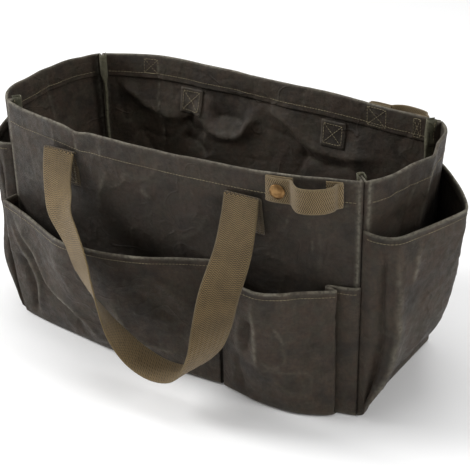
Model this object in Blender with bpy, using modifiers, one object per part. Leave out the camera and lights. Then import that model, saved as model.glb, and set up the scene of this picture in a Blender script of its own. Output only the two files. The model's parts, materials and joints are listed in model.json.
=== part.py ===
"""An open-top garden tool bag in waxed canvas, with outside pockets, webbing handles and snap straps.

The bag stands on the floor plane with its long side along X and its front towards -Y. Lengths are in metres.
Every soft piece is a sheet: a grid laid along its own surface, thickened by Solidify.
"""

import math

import bmesh
import bpy
from mathutils import Vector

# The bag
LENGTH = 0.420
WIDTH = 0.162
HEIGHT = 0.254
HALF_L, HALF_W = LENGTH / 2, WIDTH / 2
CANVAS = 0.0012
CLEAR = 0.0005
HEM = 0.024
FOLD_RADIUS = (CANVAS + CLEAR) / 2
FLOOR_GAP = CANVAS + CLEAR
SEAM_INSET = 0.0026

# How far each wall stands out between its corners: at the floor, and what the rim adds to that
FRONT_BOW, FRONT_RIM_BOW = 0.016, 0.016
BACK_BOW, BACK_RIM_BOW, BACK_RIM_SKEW = 0.008, 0.011, -0.013
LEFT_RIM_BOW = 0.024
RIGHT_RIM_BOW, RIGHT_CREASE, CREASE_REACH = 0.022, 0.009, 0.35

# Bindings that cover the seams inside
BINDING = 0.0026
BINDING_WIDTH = 0.011
FLOOR_BINDING_INSET = 0.0065
FLOOR_BINDING_HEIGHT = 0.009

# Pockets. A lip is the plan line of a pocket's mouth, as (x, y) from its first seam to its last.
FRONT_MOUTH, FRONT_MOUTH_SAG = 0.145, 0.004
END_MOUTH_FRONT, END_MOUTH_BACK = 0.204, 0.209
DIVIDER = 0.062
POCKET_OFFSET = CANVAS + 2 * CLEAR
WIDE_LIP = (
    (-0.2075, -0.0855), (-0.2140, -0.0970), (-0.2010, -0.1025), (-0.1420, -0.1260), (-0.0980, -0.1420),
    (-0.0640, -0.1405), (-0.0400, -0.1375), (-0.0090, -0.1300), (0.0250, -0.1160), (0.0605, -0.1046),
)
SMALL_LIP = (
    (0.0640, -0.1044), (0.0730, -0.1150), (0.0900, -0.1275), (0.1080, -0.1330), (0.1270, -0.1335),
    (0.1450, -0.1240), (0.1610, -0.1110), (0.1800, -0.1000), (0.1905, -0.0945), (0.2035, -0.0868),
)
END_LIP = (
    (0.2135, -0.0790), (0.2220, -0.0835), (0.2340, -0.0835), (0.2450, -0.0765), (0.2600, -0.0460),
    (0.2690, -0.0230), (0.2760, 0.0000), (0.2690, 0.0150), (0.2550, 0.0350), (0.2320, 0.0620), (0.2150, 0.0780),
)
BACK_WIDE_STAND, BACK_SMALL_STAND = 0.026, 0.022

# Handles, in 38 mm webbing, and the canvas patches that back them
WEBBING_WIDTH = 0.038
WEBBING = 0.0020
HANDLE_X = {"front": (-0.118, 0.099), "back": (-0.100, 0.084)}
HANDLE_HINGE_Z = 0.2265
HANDLE_STAND = 0.0052
SEWN_END = 0.036
SEWN_GAP = 0.0022
PATCH = 0.034
# The hanging loop: (along the hinge, out from it, drop below it, turn of the band in degrees). It is stretched
# along the hinge to each handle's own two ends.
HANDLE_ROUTE = (
    (-0.1085, 0.0000, 0.0000, 0), (-0.1095, 0.0040, 0.0200, 2), (-0.1060, 0.0150, 0.0440, 8),
    (-0.0780, 0.0400, 0.0720, 24), (-0.0520, 0.0475, 0.1020, 40), (-0.0400, 0.0485, 0.1310, 58),
    (-0.0220, 0.0490, 0.1580, 74), (0.0050, 0.0495, 0.1780, 85), (0.0370, 0.0495, 0.1855, 90),
    (0.0660, 0.0495, 0.1780, 98), (0.0900, 0.0490, 0.1500, 116), (0.1010, 0.0460, 0.1180, 138),
    (0.1060, 0.0390, 0.0860, 156), (0.1120, 0.0240, 0.0490, 169), (0.1100, 0.0080, 0.0200, 177),
    (0.1085, 0.0000, 0.0000, 180),
)

# Snap straps, in 25 mm webbing: a tab, a strap that springs out from it, and the strap's sewn end
STRAP_WEBBING = 0.0018
TAB_X = (0.1238, 0.1482)
STRAP_HINGE_X = 0.1876
STRAP_HINGE_STAND = 0.0056
ANCHOR_X = (0.1780, 0.1915)
STRAP_Z = (0.2285, HEIGHT - CLEAR)
SNAP_X = 0.1360
SNAP_Z = (STRAP_Z[0] + STRAP_Z[1]) / 2

# Press stud, 15 mm cap
SNAP_GAP = 0.0003
CAP_RADIUS, CAP_DOME, CAP_RIM = 0.0075, 0.0018, 0.0009
BARREL_RADIUS, BARREL_HOLE = 0.0018, 0.0022
SOCKET_RADIUS, SOCKET_HEIGHT, SOCKET_BORE = 0.0062, 0.0022, 0.0036
STUD_FLANGE, STUD_FLANGE_HEIGHT = 0.0056, 0.0005
STUD_RADIUS, STUD_HEIGHT = 0.0028, 0.0023
POST_RADIUS, POST_HEIGHT = 0.0050, 0.0005
POST_PIN_RADIUS, PIN_LENGTH = 0.0014, 0.0022
PIN_PLAY = 0.0004

# Distances out from the wall's canvas, through the closed press stud
TAB_OUT = SNAP_GAP + POST_HEIGHT + SNAP_GAP + STRAP_WEBBING / 2
STUD_OUT = TAB_OUT + STRAP_WEBBING / 2 + SNAP_GAP
SOCKET_OUT = STUD_OUT + STUD_FLANGE_HEIGHT + SNAP_GAP
STRAP_OUT = SOCKET_OUT + SOCKET_HEIGHT + SNAP_GAP + STRAP_WEBBING / 2
CAP_OUT = STRAP_OUT + STRAP_WEBBING / 2 + SNAP_GAP
# The strap from its hinge to its free end: (x, out from the wall)
STRAP_ROUTE = (
    (STRAP_HINGE_X, STRAP_HINGE_STAND), (0.1858, 0.0130), (0.1800, 0.0190), (0.1720, 0.0222),
    (0.1640, 0.0232), (0.1580, 0.0215), (0.1535, 0.0160), (0.1500, 0.0098), (0.1470, STRAP_OUT),
    (SNAP_X, STRAP_OUT), (0.1242, STRAP_OUT),
)

CANVAS_COLOUR = (0.060, 0.052, 0.042)
CANVAS_INSIDE = (0.045, 0.040, 0.032)
BINDING_COLOUR = (0.075, 0.072, 0.055)
WEBBING_COLOUR = (0.235, 0.165, 0.082)
BRASS_COLOUR = (0.36, 0.22, 0.12)

SIDES = {"front": (0, -1), "back": (0, 1), "left": (-1, 0), "right": (1, 0)}


def clear_scene():
    for thing in list(bpy.data.objects):
        bpy.data.objects.remove(thing)


def collection(name):
    made = bpy.data.collections.new(name)
    bpy.context.scene.collection.children.link(made)
    return made


def material(name, colour, roughness, metallic=0.0):
    made = bpy.data.materials.new(name)
    made.use_nodes = True
    shader = made.node_tree.nodes["Principled BSDF"]
    shader.inputs["Base Color"].default_value = (*colour, 1)
    shader.inputs["Roughness"].default_value = roughness
    shader.inputs["Metallic"].default_value = metallic
    return made


# ---- The walls' shape

def bow(side, s, z):
    """How far a wall stands out at s, from -1 to 1 along it, and at height z."""
    t = z / HEIGHT
    if side == "front":
        return (1 - abs(s) ** 3) * (FRONT_BOW + FRONT_RIM_BOW * t**2)
    if side == "back":
        return (1 - s**4) * (BACK_BOW + (BACK_RIM_BOW + BACK_RIM_SKEW * s) * t**2)
    if side == "left":
        return (1 - s**4) * LEFT_RIM_BOW * t**1.5
    crease = RIGHT_CREASE * max(0.0, 1 - abs(s) / CREASE_REACH)
    return ((1 - s**4) * RIGHT_RIM_BOW + crease) * t**1.5


def wall(side, s, z, out=0.0):
    """A point on the middle of a wall's canvas, or out from it."""
    reach = bow(side, s, z) + out
    if side in ("front", "back"):
        return Vector((s * HALF_L, SIDES[side][1] * (HALF_W + reach), z))
    return Vector((SIDES[side][0] * (HALF_L + reach), s * HALF_W, z))


def wall_at_x(side, x, z, out=0.0):
    return wall(side, x / HALF_L, z, out)


def lerp(a, b, t):
    return a + (b - a) * t


def smooth(points, t):
    """A Catmull-Rom curve through the points, at t from 0 to 1."""
    points = [Vector(p) for p in points]
    place = min(max(t, 0.0), 1.0) * (len(points) - 1)
    i = min(int(place), len(points) - 2)
    f = place - i
    before = points[i - 1] if i else points[0] * 2 - points[1]
    after = points[i + 2] if i + 2 < len(points) else points[-1] * 2 - points[-2]
    a, b = points[i], points[i + 1]
    turn = (b - before) * f + (before * 2 - a * 5 + b * 4 - after) * f**2
    return a + (turn + (a * 3 - before - b * 3 + after) * f**3) / 2


# ---- Making objects

def finish(name, mesh, group, colour, roughness=0.8, metallic=0.0):
    thing = bpy.data.objects.new(name, mesh)
    thing.data.materials.append(material(name, colour, roughness, metallic))
    group.objects.link(thing)
    return thing


def pivot(name, place, group):
    """An empty on a joint's axis, for the pieces that swing about it."""
    empty = bpy.data.objects.new(name, None)
    empty.location = place
    group.objects.link(empty)
    return empty


def put(thing, place, parent=None):
    """Moves an object to a point of the bag, under its pivot if it swings."""
    thing.location = place
    if parent:
        thing.parent = parent
        thing.location = Vector(place) - parent.location


def sheet(name, columns, rows, place, thickness, group, colour, ring=False, parent=None):
    """A grid whose point (u, v), each from 0 to 1, lies at place(u, v), thickened evenly to both sides."""
    origin = parent.location if parent else Vector()
    grid = bmesh.new()
    bmesh.ops.create_grid(grid, x_segments=columns, y_segments=rows, size=0.5)
    for point in grid.verts:
        point.co = place(point.co.x + 0.5, point.co.y + 0.5) - origin
    if ring:
        bmesh.ops.remove_doubles(grid, verts=grid.verts, dist=1e-5)
    mesh = bpy.data.meshes.new(name)
    grid.to_mesh(mesh)
    grid.free()
    thing = finish(name, mesh, group, colour)
    put(thing, origin, parent)
    solid = thing.modifiers.new("Solidify", "SOLIDIFY")
    solid.thickness = thickness
    solid.offset = 0.0
    solid.use_even_offset = True
    for face in mesh.polygons:
        face.use_smooth = True
    return thing


def turned(name, profile, group, colour):
    """A piece turned about Z from an (r, z) outline that runs down its outer side."""
    outline = bpy.data.meshes.new(name)
    points = [(r, 0, z) for r, z in profile]
    outline.from_pydata(points, [(i, i + 1) for i in range(len(points) - 1)], [])
    thing = finish(name, outline, group, colour, roughness=0.35, metallic=1.0)
    turn = thing.modifiers.new("Screw", "SCREW")
    turn.steps = turn.render_steps = 18
    turn.use_merge_vertices = True
    turn.merge_threshold = 1e-5
    return thing


def cut(thing, cutter, name):
    hole = thing.modifiers.new(name, "BOOLEAN")
    hole.operation = "DIFFERENCE"
    hole.object = cutter


def cylinder_cutter(name, radius, length, place, direction, group):
    mesh = bpy.data.meshes.new(name)
    shape = bmesh.new()
    size = {"radius1": radius, "radius2": radius, "depth": length}
    bmesh.ops.create_cone(shape, cap_ends=True, segments=20, **size)
    shape.to_mesh(mesh)
    shape.free()
    cutter = bpy.data.objects.new(name, mesh)
    group.objects.link(cutter)
    cutter.location = place
    cutter.rotation_euler = direction.to_track_quat("Z", "Y").to_euler()
    cutter.hide_render = True
    cutter.display_type = "WIRE"
    return cutter


# ---- The bag's own panels

def bottom_panel(group):
    def place(u, v):
        s = (2 * u - 1) * (1 - SEAM_INSET / HALF_L)
        front = wall("front", s, 0).y
        back = wall("back", s, 0).y
        return Vector((s * HALF_L, lerp(front, back, v), CANVAS / 2))

    sheet("bottom_panel", 16, 1, place, CANVAS, group, CANVAS_INSIDE)


def hem_path(rows_up):
    """(inwards, z) up the outside of a wall, over its rim and down inside to the hem's stitching."""
    top = HEIGHT - FOLD_RADIUS - CANVAS / 2
    path = [(0.0, lerp(FLOOR_GAP, HEIGHT - HEM, i / rows_up)) for i in range(rows_up + 1)]
    path.append((0.0, top))
    for angle in (45, 90, 135):
        turn = math.radians(angle)
        path.append((FOLD_RADIUS * (1 - math.cos(turn)), top + FOLD_RADIUS * math.sin(turn)))
    path.append((2 * FOLD_RADIUS, top))
    path.append((2 * FOLD_RADIUS, HEIGHT - HEM))
    return path


def wall_panel(side, columns, group):
    path = hem_path(rows_up=5)
    half = HALF_L if side in ("front", "back") else HALF_W
    reach = 1 - SEAM_INSET / half

    def place(u, v):
        inwards, z = path[round(v * (len(path) - 1))]
        return wall(side, (2 * u - 1) * reach, z, -inwards)

    name = f"{side}_panel" if side in ("front", "back") else f"{side}_end_panel"
    sheet(name, columns, len(path) - 1, place, CANVAS, group, CANVAS_COLOUR)


def corner_binding(front_back, left_right, group):
    """A strip of tape that closes over the two raw edges in a corner of the bag, from its floor to its rim."""
    across = SIDES[left_right][0]
    along = SIDES[front_back][1]
    low, high = FLOOR_BINDING_HEIGHT + 0.004, HEIGHT - 0.001
    inset = 0.0082
    bpy.ops.mesh.primitive_cube_add(size=1)
    strip = bpy.context.object
    for holder in list(strip.users_collection):
        holder.objects.unlink(strip)
    name = f"{front_back}_{left_right}_corner_binding"
    strip.name = strip.data.name = name
    for point in strip.data.vertices:
        point.co.x *= BINDING_WIDTH
        point.co.y *= BINDING
        point.co.z *= high - low
    strip.location = (across * (HALF_L - inset), along * (HALF_W - inset), (low + high) / 2)
    strip.rotation_euler.z = math.radians(45) * (across * along)
    strip.data.materials.append(material(name, BINDING_COLOUR, 0.85))
    group.objects.link(strip)


def floor_ring(u, inset, z):
    """A point on the line that runs once round inside the walls, at u from 0 to 1."""
    order = (("front", 1), ("right", 1), ("back", -1), ("left", -1))
    i = min(int(u * 4), 3)
    side, direction = order[i]
    half = HALF_L if side in ("front", "back") else HALF_W
    s = direction * (2 * (u * 4 - i) - 1) * (1 - inset / half)
    return wall(side, s, z, -inset)


def bottom_binding(group):
    def place(u, v):
        z = FLOOR_GAP + 0.0008 + v * FLOOR_BINDING_HEIGHT
        point = floor_ring(u % 1.0, FLOOR_BINDING_INSET, z)
        return Vector((point.x, point.y, z))

    sheet("bottom_binding", 48, 1, place, BINDING * 0.6, group, BINDING_COLOUR, ring=True)


# ---- Pockets

def standing_off(v):
    """How much of its full standoff a pocket has at v of its height: it leaves the floor seam steeply."""
    return 1 - (1 - v) ** 2.1


def front_pocket(name, lip, columns, group):
    def place(u, v):
        x, y, _ = smooth([(*point, 0) for point in lip], u)
        mouth = FRONT_MOUTH - FRONT_MOUTH_SAG * math.sin(math.pi * u)
        z = lerp(FLOOR_GAP, mouth, v)
        s = min(max(x / HALF_L, -1.0), 1.0)
        seam = wall("front", s, z, POCKET_OFFSET)
        stand = y - wall("front", s, mouth, POCKET_OFFSET).y
        return Vector((lerp(s * HALF_L, x, v), seam.y + min(stand, 0) * standing_off(v), z))

    sheet(name, columns, 7, place, CANVAS, group, CANVAS_COLOUR)


def back_pocket(name, start, end, stand, columns, group):
    def place(u, v):
        x = lerp(start, end, u)
        z = lerp(FLOOR_GAP, FRONT_MOUTH, v)
        swell = stand * math.sin(math.pi * u) ** 0.6 if 0 < u < 1 else 0.0
        return wall_at_x("back", x, z, POCKET_OFFSET + swell * standing_off(v))

    sheet(name, columns, 7, place, CANVAS, group, CANVAS_COLOUR)


def end_pocket(side, group):
    across = SIDES[side][0]

    def place(u, v):
        x, y, _ = smooth([(*point, 0) for point in END_LIP], u)
        mouth = lerp(END_MOUTH_FRONT, END_MOUTH_BACK, u)
        z = lerp(FLOOR_GAP, mouth, v)
        s = lerp(END_LIP[0][1], END_LIP[-1][1], u) / HALF_W
        seam = wall(side, s, z, POCKET_OFFSET)
        rim = wall(side, s, mouth, POCKET_OFFSET)
        share = standing_off(v)
        stand = max(x - abs(rim.x), 0)
        return Vector((seam.x + across * stand * share, lerp(seam.y, y, share), z))

    sheet(f"{side}_end_pocket", 22, 7, place, CANVAS, group, CANVAS_COLOUR)


# ---- Handles

def hinge_point(side, x):
    """Where a handle leg turns: above its sewn end, clear of the wall over the webbing's whole width."""
    half = WEBBING_WIDTH / 2
    reach = max(bow(side, (x + w) / HALF_L, HANDLE_HINGE_Z) for w in (-half, 0, half))
    return Vector((x, SIDES[side][1] * (HALF_W + reach + HANDLE_STAND), HANDLE_HINGE_Z))


def handle_frame(side):
    """The hinge line's middle, half its length, its direction, and the direction out from the wall."""
    left, right = (hinge_point(side, x) for x in HANDLE_X[side])
    along = (right - left).normalized()
    out = Vector((0, 0, 1)).cross(along) * SIDES[side][1]
    return (left + right) / 2, (right - left).length / 2, along, out


def handle(side, group):
    middle, half, along, out = handle_frame(side)
    stretch = half / HANDLE_ROUTE[-1][0]
    hinge = pivot(f"{side}_handle_hinge", middle, group)
    spots = [(a * stretch, o, -d) for a, o, d, _ in HANDLE_ROUTE]
    turns = [(turn, 0, 0) for _, _, _, turn in HANDLE_ROUTE]

    def centre(u):
        a, o, z = smooth(spots, u)
        return middle + along * a + out * o + Vector((0, 0, z))

    def place(u, v):
        step = 0.004
        run = (centre(min(u + step, 1)) - centre(max(u - step, 0))).normalized()
        turn = math.radians(smooth(turns, u).x)
        across = along * math.cos(turn) + out * math.sin(turn)
        if 0 < u < 1:
            across = (across - run * across.dot(run)).normalized()
        return centre(u) + across * (v - 0.5) * WEBBING_WIDTH

    sheet(f"{side}_handle", 46, 1, place, WEBBING, group, WEBBING_COLOUR, parent=hinge)


def handle_ends(side, group):
    for x, where in zip(HANDLE_X[side], ("left", "right")):
        top = HANDLE_HINGE_Z - SEWN_GAP

        def outside(u, v, x=x, top=top):
            z = lerp(top - SEWN_END, top, v)
            return over_wall(side, x + (u - 0.5) * WEBBING_WIDTH, z, CLEAR + WEBBING / 2)

        def inside(u, v, x=x, top=top):
            z = lerp(top - PATCH, top, v)
            return over_wall(side, x + (u - 0.5) * PATCH, z, -CLEAR - CANVAS * 1.5)

        sheet(f"{side}_handle_{where}_sewn_end", 4, 1, outside, WEBBING, group, WEBBING_COLOUR)
        sheet(f"{side}_handle_{where}_patch", 4, 1, inside, CANVAS, group, CANVAS_INSIDE)


# ---- Snap straps

def square_to_wall(side, x, z):
    """The direction straight out from a wall."""
    step = 0.003
    run = wall_at_x(side, x + step, z) - wall_at_x(side, x - step, z)
    rise = wall_at_x(side, x, z + step) - wall_at_x(side, x, z - step)
    return (run.cross(rise) * -SIDES[side][1]).normalized()


def over_wall(side, x, z, out):
    """A point out from the outside of a wall's canvas."""
    return wall_at_x(side, x, z) + square_to_wall(side, x, z) * (CANVAS / 2 + out)


def flat_webbing(name, side, ends, out, group):
    def place(u, v):
        return over_wall(side, lerp(*ends, u), lerp(*STRAP_Z, v), out)

    return sheet(name, 4, 1, place, STRAP_WEBBING, group, WEBBING_COLOUR)


def snap_strap(side, hinge, group):
    route = [(x, out, 0) for x, out in STRAP_ROUTE]

    def place(u, v):
        x, out, _ = smooth(route, u)
        return over_wall(side, x, lerp(*STRAP_Z, v), out)

    name = f"{side}_snap_strap"
    return sheet(name, 26, 1, place, STRAP_WEBBING, group, WEBBING_COLOUR, parent=hinge)


def snap_parts(side, strap, tab, hinge, group, cutters):
    """The press stud: post and stud on the tab, socket and cap on the strap, from the wall outwards."""
    here = over_wall(side, SNAP_X, SNAP_Z, 0)
    out = square_to_wall(side, SNAP_X, SNAP_Z)
    post = [
        (0, PIN_LENGTH), (POST_PIN_RADIUS, PIN_LENGTH), (POST_PIN_RADIUS, POST_HEIGHT),
        (POST_RADIUS, POST_HEIGHT), (POST_RADIUS, 0), (0, 0),
    ]
    bore = POST_PIN_RADIUS + PIN_PLAY
    stud = [
        (bore, STUD_HEIGHT), (STUD_RADIUS * 0.9, STUD_HEIGHT), (STUD_RADIUS, STUD_HEIGHT * 0.6),
        (STUD_RADIUS * 0.8, STUD_FLANGE_HEIGHT), (STUD_FLANGE, STUD_FLANGE_HEIGHT), (STUD_FLANGE, 0),
        (bore, 0), (bore, STUD_HEIGHT),
    ]
    socket = [
        (SOCKET_BORE, SOCKET_HEIGHT), (SOCKET_RADIUS, SOCKET_HEIGHT), (SOCKET_RADIUS, 0.0006),
        (SOCKET_RADIUS - 0.0006, 0), (SOCKET_BORE, 0), (SOCKET_BORE, SOCKET_HEIGHT),
    ]
    cap = [(0, CAP_RIM + CAP_DOME)]
    for i in range(1, 7):
        angle = math.radians(15 * i)
        cap.append((CAP_RADIUS * math.sin(angle), CAP_RIM + CAP_DOME * math.cos(angle)))
    barrel = STRAP_WEBBING + SNAP_GAP
    cap += [(CAP_RADIUS, 0), (BARREL_RADIUS, 0)]
    cap += [(BARREL_RADIUS, -barrel), (0, -barrel)]

    spin = out.to_track_quat("Z", "Y").to_euler()
    pieces = (
        ("post", post, SNAP_GAP, None), ("stud", stud, STUD_OUT, None),
        ("socket", socket, SOCKET_OUT, hinge), ("cap", cap, CAP_OUT, hinge),
    )
    for name, profile, distance, parent in pieces:
        piece = turned(f"{side}_snap_{name}", profile, group, BRASS_COLOUR)
        piece.rotation_euler = spin
        put(piece, here + out * distance, parent)
    for thing, radius, distance in ((tab, bore, TAB_OUT), (strap, BARREL_HOLE, STRAP_OUT)):
        cutter = cylinder_cutter(f"{thing.name}_hole", radius, 0.006, here + out * distance, out, cutters)
        cut(thing, cutter, "Hole")


def snap_side(side, group, cutters):
    tab = flat_webbing(f"{side}_snap_tab", side, TAB_X, TAB_OUT, group)
    flat_webbing(f"{side}_strap_anchor", side, ANCHOR_X, CLEAR + STRAP_WEBBING / 2, group)
    turn = over_wall(side, STRAP_HINGE_X, SNAP_Z, STRAP_HINGE_STAND)
    hinge = pivot(f"{side}_strap_hinge", turn, group)
    strap = snap_strap(side, hinge, group)
    snap_parts(side, strap, tab, hinge, group, cutters)


def build():
    clear_scene()
    bag = collection("garden_tool_bag")
    cutters = collection("cutters")
    bottom_panel(bag)
    for side, columns in (("front", 18), ("back", 18), ("left", 12), ("right", 12)):
        wall_panel(side, columns, bag)
    for front_back in ("front", "back"):
        for left_right in ("left", "right"):
            corner_binding(front_back, left_right, bag)
    bottom_binding(bag)
    front_pocket("front_wide_pocket", WIDE_LIP, 24, bag)
    front_pocket("front_small_pocket", SMALL_LIP, 18, bag)
    back_pocket("back_wide_pocket", -0.2055, DIVIDER - 0.0015, BACK_WIDE_STAND, 16, bag)
    back_pocket("back_small_pocket", DIVIDER + 0.0015, 0.2045, BACK_SMALL_STAND, 12, bag)
    for side in ("left", "right"):
        end_pocket(side, bag)
    for side in ("front", "back"):
        handle(side, bag)
        handle_ends(side, bag)
        snap_side(side, bag, cutters)


build()
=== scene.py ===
"""The looks of an open-top garden tool bag in waxed canvas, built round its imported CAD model.

Every cloth piece is a grid of points with its own place on the flat cut, so that weave, stitching and wear lie at
their real size. Lengths are in metres, and the bag's long side is along X with its front towards -Y.
"""

import json
import math

import bpy
import numpy as np
from mathutils import Matrix, Vector


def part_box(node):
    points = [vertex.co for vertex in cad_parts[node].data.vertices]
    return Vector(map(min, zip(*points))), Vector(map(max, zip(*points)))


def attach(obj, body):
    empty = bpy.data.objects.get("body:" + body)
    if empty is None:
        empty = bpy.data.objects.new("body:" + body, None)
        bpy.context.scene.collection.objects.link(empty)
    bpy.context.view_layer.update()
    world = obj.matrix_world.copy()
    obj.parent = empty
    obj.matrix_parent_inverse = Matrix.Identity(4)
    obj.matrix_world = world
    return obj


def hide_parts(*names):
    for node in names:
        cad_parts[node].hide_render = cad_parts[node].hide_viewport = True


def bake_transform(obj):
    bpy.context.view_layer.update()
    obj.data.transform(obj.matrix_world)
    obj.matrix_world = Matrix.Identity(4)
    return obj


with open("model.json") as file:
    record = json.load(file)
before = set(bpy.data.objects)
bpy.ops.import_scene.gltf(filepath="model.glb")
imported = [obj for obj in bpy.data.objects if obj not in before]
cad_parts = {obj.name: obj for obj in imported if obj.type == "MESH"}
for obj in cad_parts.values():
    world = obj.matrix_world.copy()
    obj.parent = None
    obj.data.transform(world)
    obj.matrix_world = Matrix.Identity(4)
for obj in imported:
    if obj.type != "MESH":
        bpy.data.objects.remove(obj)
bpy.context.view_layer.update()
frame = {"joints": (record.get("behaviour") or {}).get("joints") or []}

# ---- Sizes, read from the CAD model

SEAM_INSET = 0.0026
HALF_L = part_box("front_panel")[1].x + SEAM_INSET
HALF_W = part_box("right_end_panel")[1].y + SEAM_INSET
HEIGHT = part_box("front_panel")[1].z
WEBBING_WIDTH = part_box("front_handle_left_sewn_end")[1].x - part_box("front_handle_left_sewn_end")[0].x
STRAP_Z = (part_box("front_snap_tab")[0].z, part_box("front_snap_tab")[1].z)

MM = 0.001
CANVAS = 0.0009
CLEAR = 0.0004
HEM = 0.024
THREAD = 0.00026
STITCH = 0.0034
LEAN = 0.0058
WEBBING = 0.0018
TAPE = 0.0006

SIDES = {"front": (0, -1), "back": (0, 1), "left": (-1, 0), "right": (1, 0)}
LONG = ("front", "back")
TAU = 2 * math.pi


# ---- Numbers over whole arrays

def ramp(value, low, high):
    """0 below low and 1 above high, with a smooth rise between. It falls where high is below low."""
    t = np.clip((np.asarray(value, float) - low) / (high - low), 0, 1)
    return t * t * (3 - 2 * t)


def spread(low, high, step):
    """Evenly spaced numbers from low to high, about a step apart."""
    return np.linspace(low, high, max(2, int(round(abs(high - low) / step)) + 1))


def unit(v):
    return v / np.maximum(np.linalg.norm(v, axis=-1, keepdims=True), 1e-12)


def smooth_curve(points, count, dense=40):
    """A Catmull-Rom curve through the points, cut into count points evenly spaced along it."""
    p = np.array(points, float)
    p = np.vstack([2 * p[0] - p[1], p, 2 * p[-1] - p[-2]])
    f = np.linspace(0, 1, dense, endpoint=False)[:, None]
    runs = []
    for a, b, c, d in zip(p, p[1:], p[2:], p[3:]):
        turn = (c - a) * f + (2 * a - 5 * b + 4 * c - d) * f**2 + (3 * b - a - 3 * c + d) * f**3
        runs.append(b + turn / 2)
    return even(np.vstack([*runs, p[-2:-1]]), count)


def even(line, count, columns=None):
    """The line's points moved to even spacing, measured over its first columns."""
    steps = np.linalg.norm(np.diff(line[:, :columns], axis=0), axis=1)
    run = np.concatenate([[0], np.cumsum(steps)])
    at = np.linspace(0, run[-1], count)
    return np.stack([np.interp(at, run, line[:, i]) for i in range(line.shape[1])], axis=1)


def lattice(i, j, seed):
    """A fixed number from 0 to 1 for each cell of a lattice."""
    value = np.sin(i * 127.1 + j * 311.7 + seed * 74.7) * 43758.5453
    return value - np.floor(value)


def noise(x, y, size, seed):
    """Smooth noise from -1 to 1 whose hills are about size across."""
    x, y = x / size, y / size
    i, j = np.floor(x), np.floor(y)
    u, v = ramp(x - i, 0, 1), ramp(y - j, 0, 1)
    low = lattice(i, j, seed) * (1 - u) + lattice(i + 1, j, seed) * u
    high = lattice(i, j + 1, seed) * (1 - u) + lattice(i + 1, j + 1, seed) * u
    return (low * (1 - v) + high * v) * 2 - 1


def ridges(x, y, size, seed):
    """Sharp lines that wander like the creases of stiff cloth: 1 on a line, falling away to both sides."""
    bend = noise(x, y, size * 2.1, seed + 5) * size * 0.7
    return 1 - np.abs(noise(x + bend, y - bend * 0.6, size, seed)) ** 0.6


def line_distance(x, y, line):
    """Each point's distance to a line of straight stretches, the side it lies on, and how far along it is."""
    near, place, side = np.full(np.shape(x), 1e9), np.zeros(np.shape(x)), np.ones(np.shape(x))
    count = len(line) - 1
    for i in range(count):
        (ax, ay), (bx, by) = line[i], line[i + 1]
        dx, dy = bx - ax, by - ay
        t = np.clip(((x - ax) * dx + (y - ay) * dy) / (dx * dx + dy * dy), 0, 1)
        gap = np.hypot(x - ax - t * dx, y - ay - t * dy)
        place = np.where(gap < near, (i + t) / count, place)
        side = np.where(gap < near, np.sign(dx * (y - ay) - dy * (x - ax)), side)
        near = np.minimum(near, gap)
    return near, side, place


# ---- Creases: the line on the piece, as (along, up); how wide; how high, where below zero is a valley; how pale.
# Lengths in these and the later tables are in millimetres.

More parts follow.
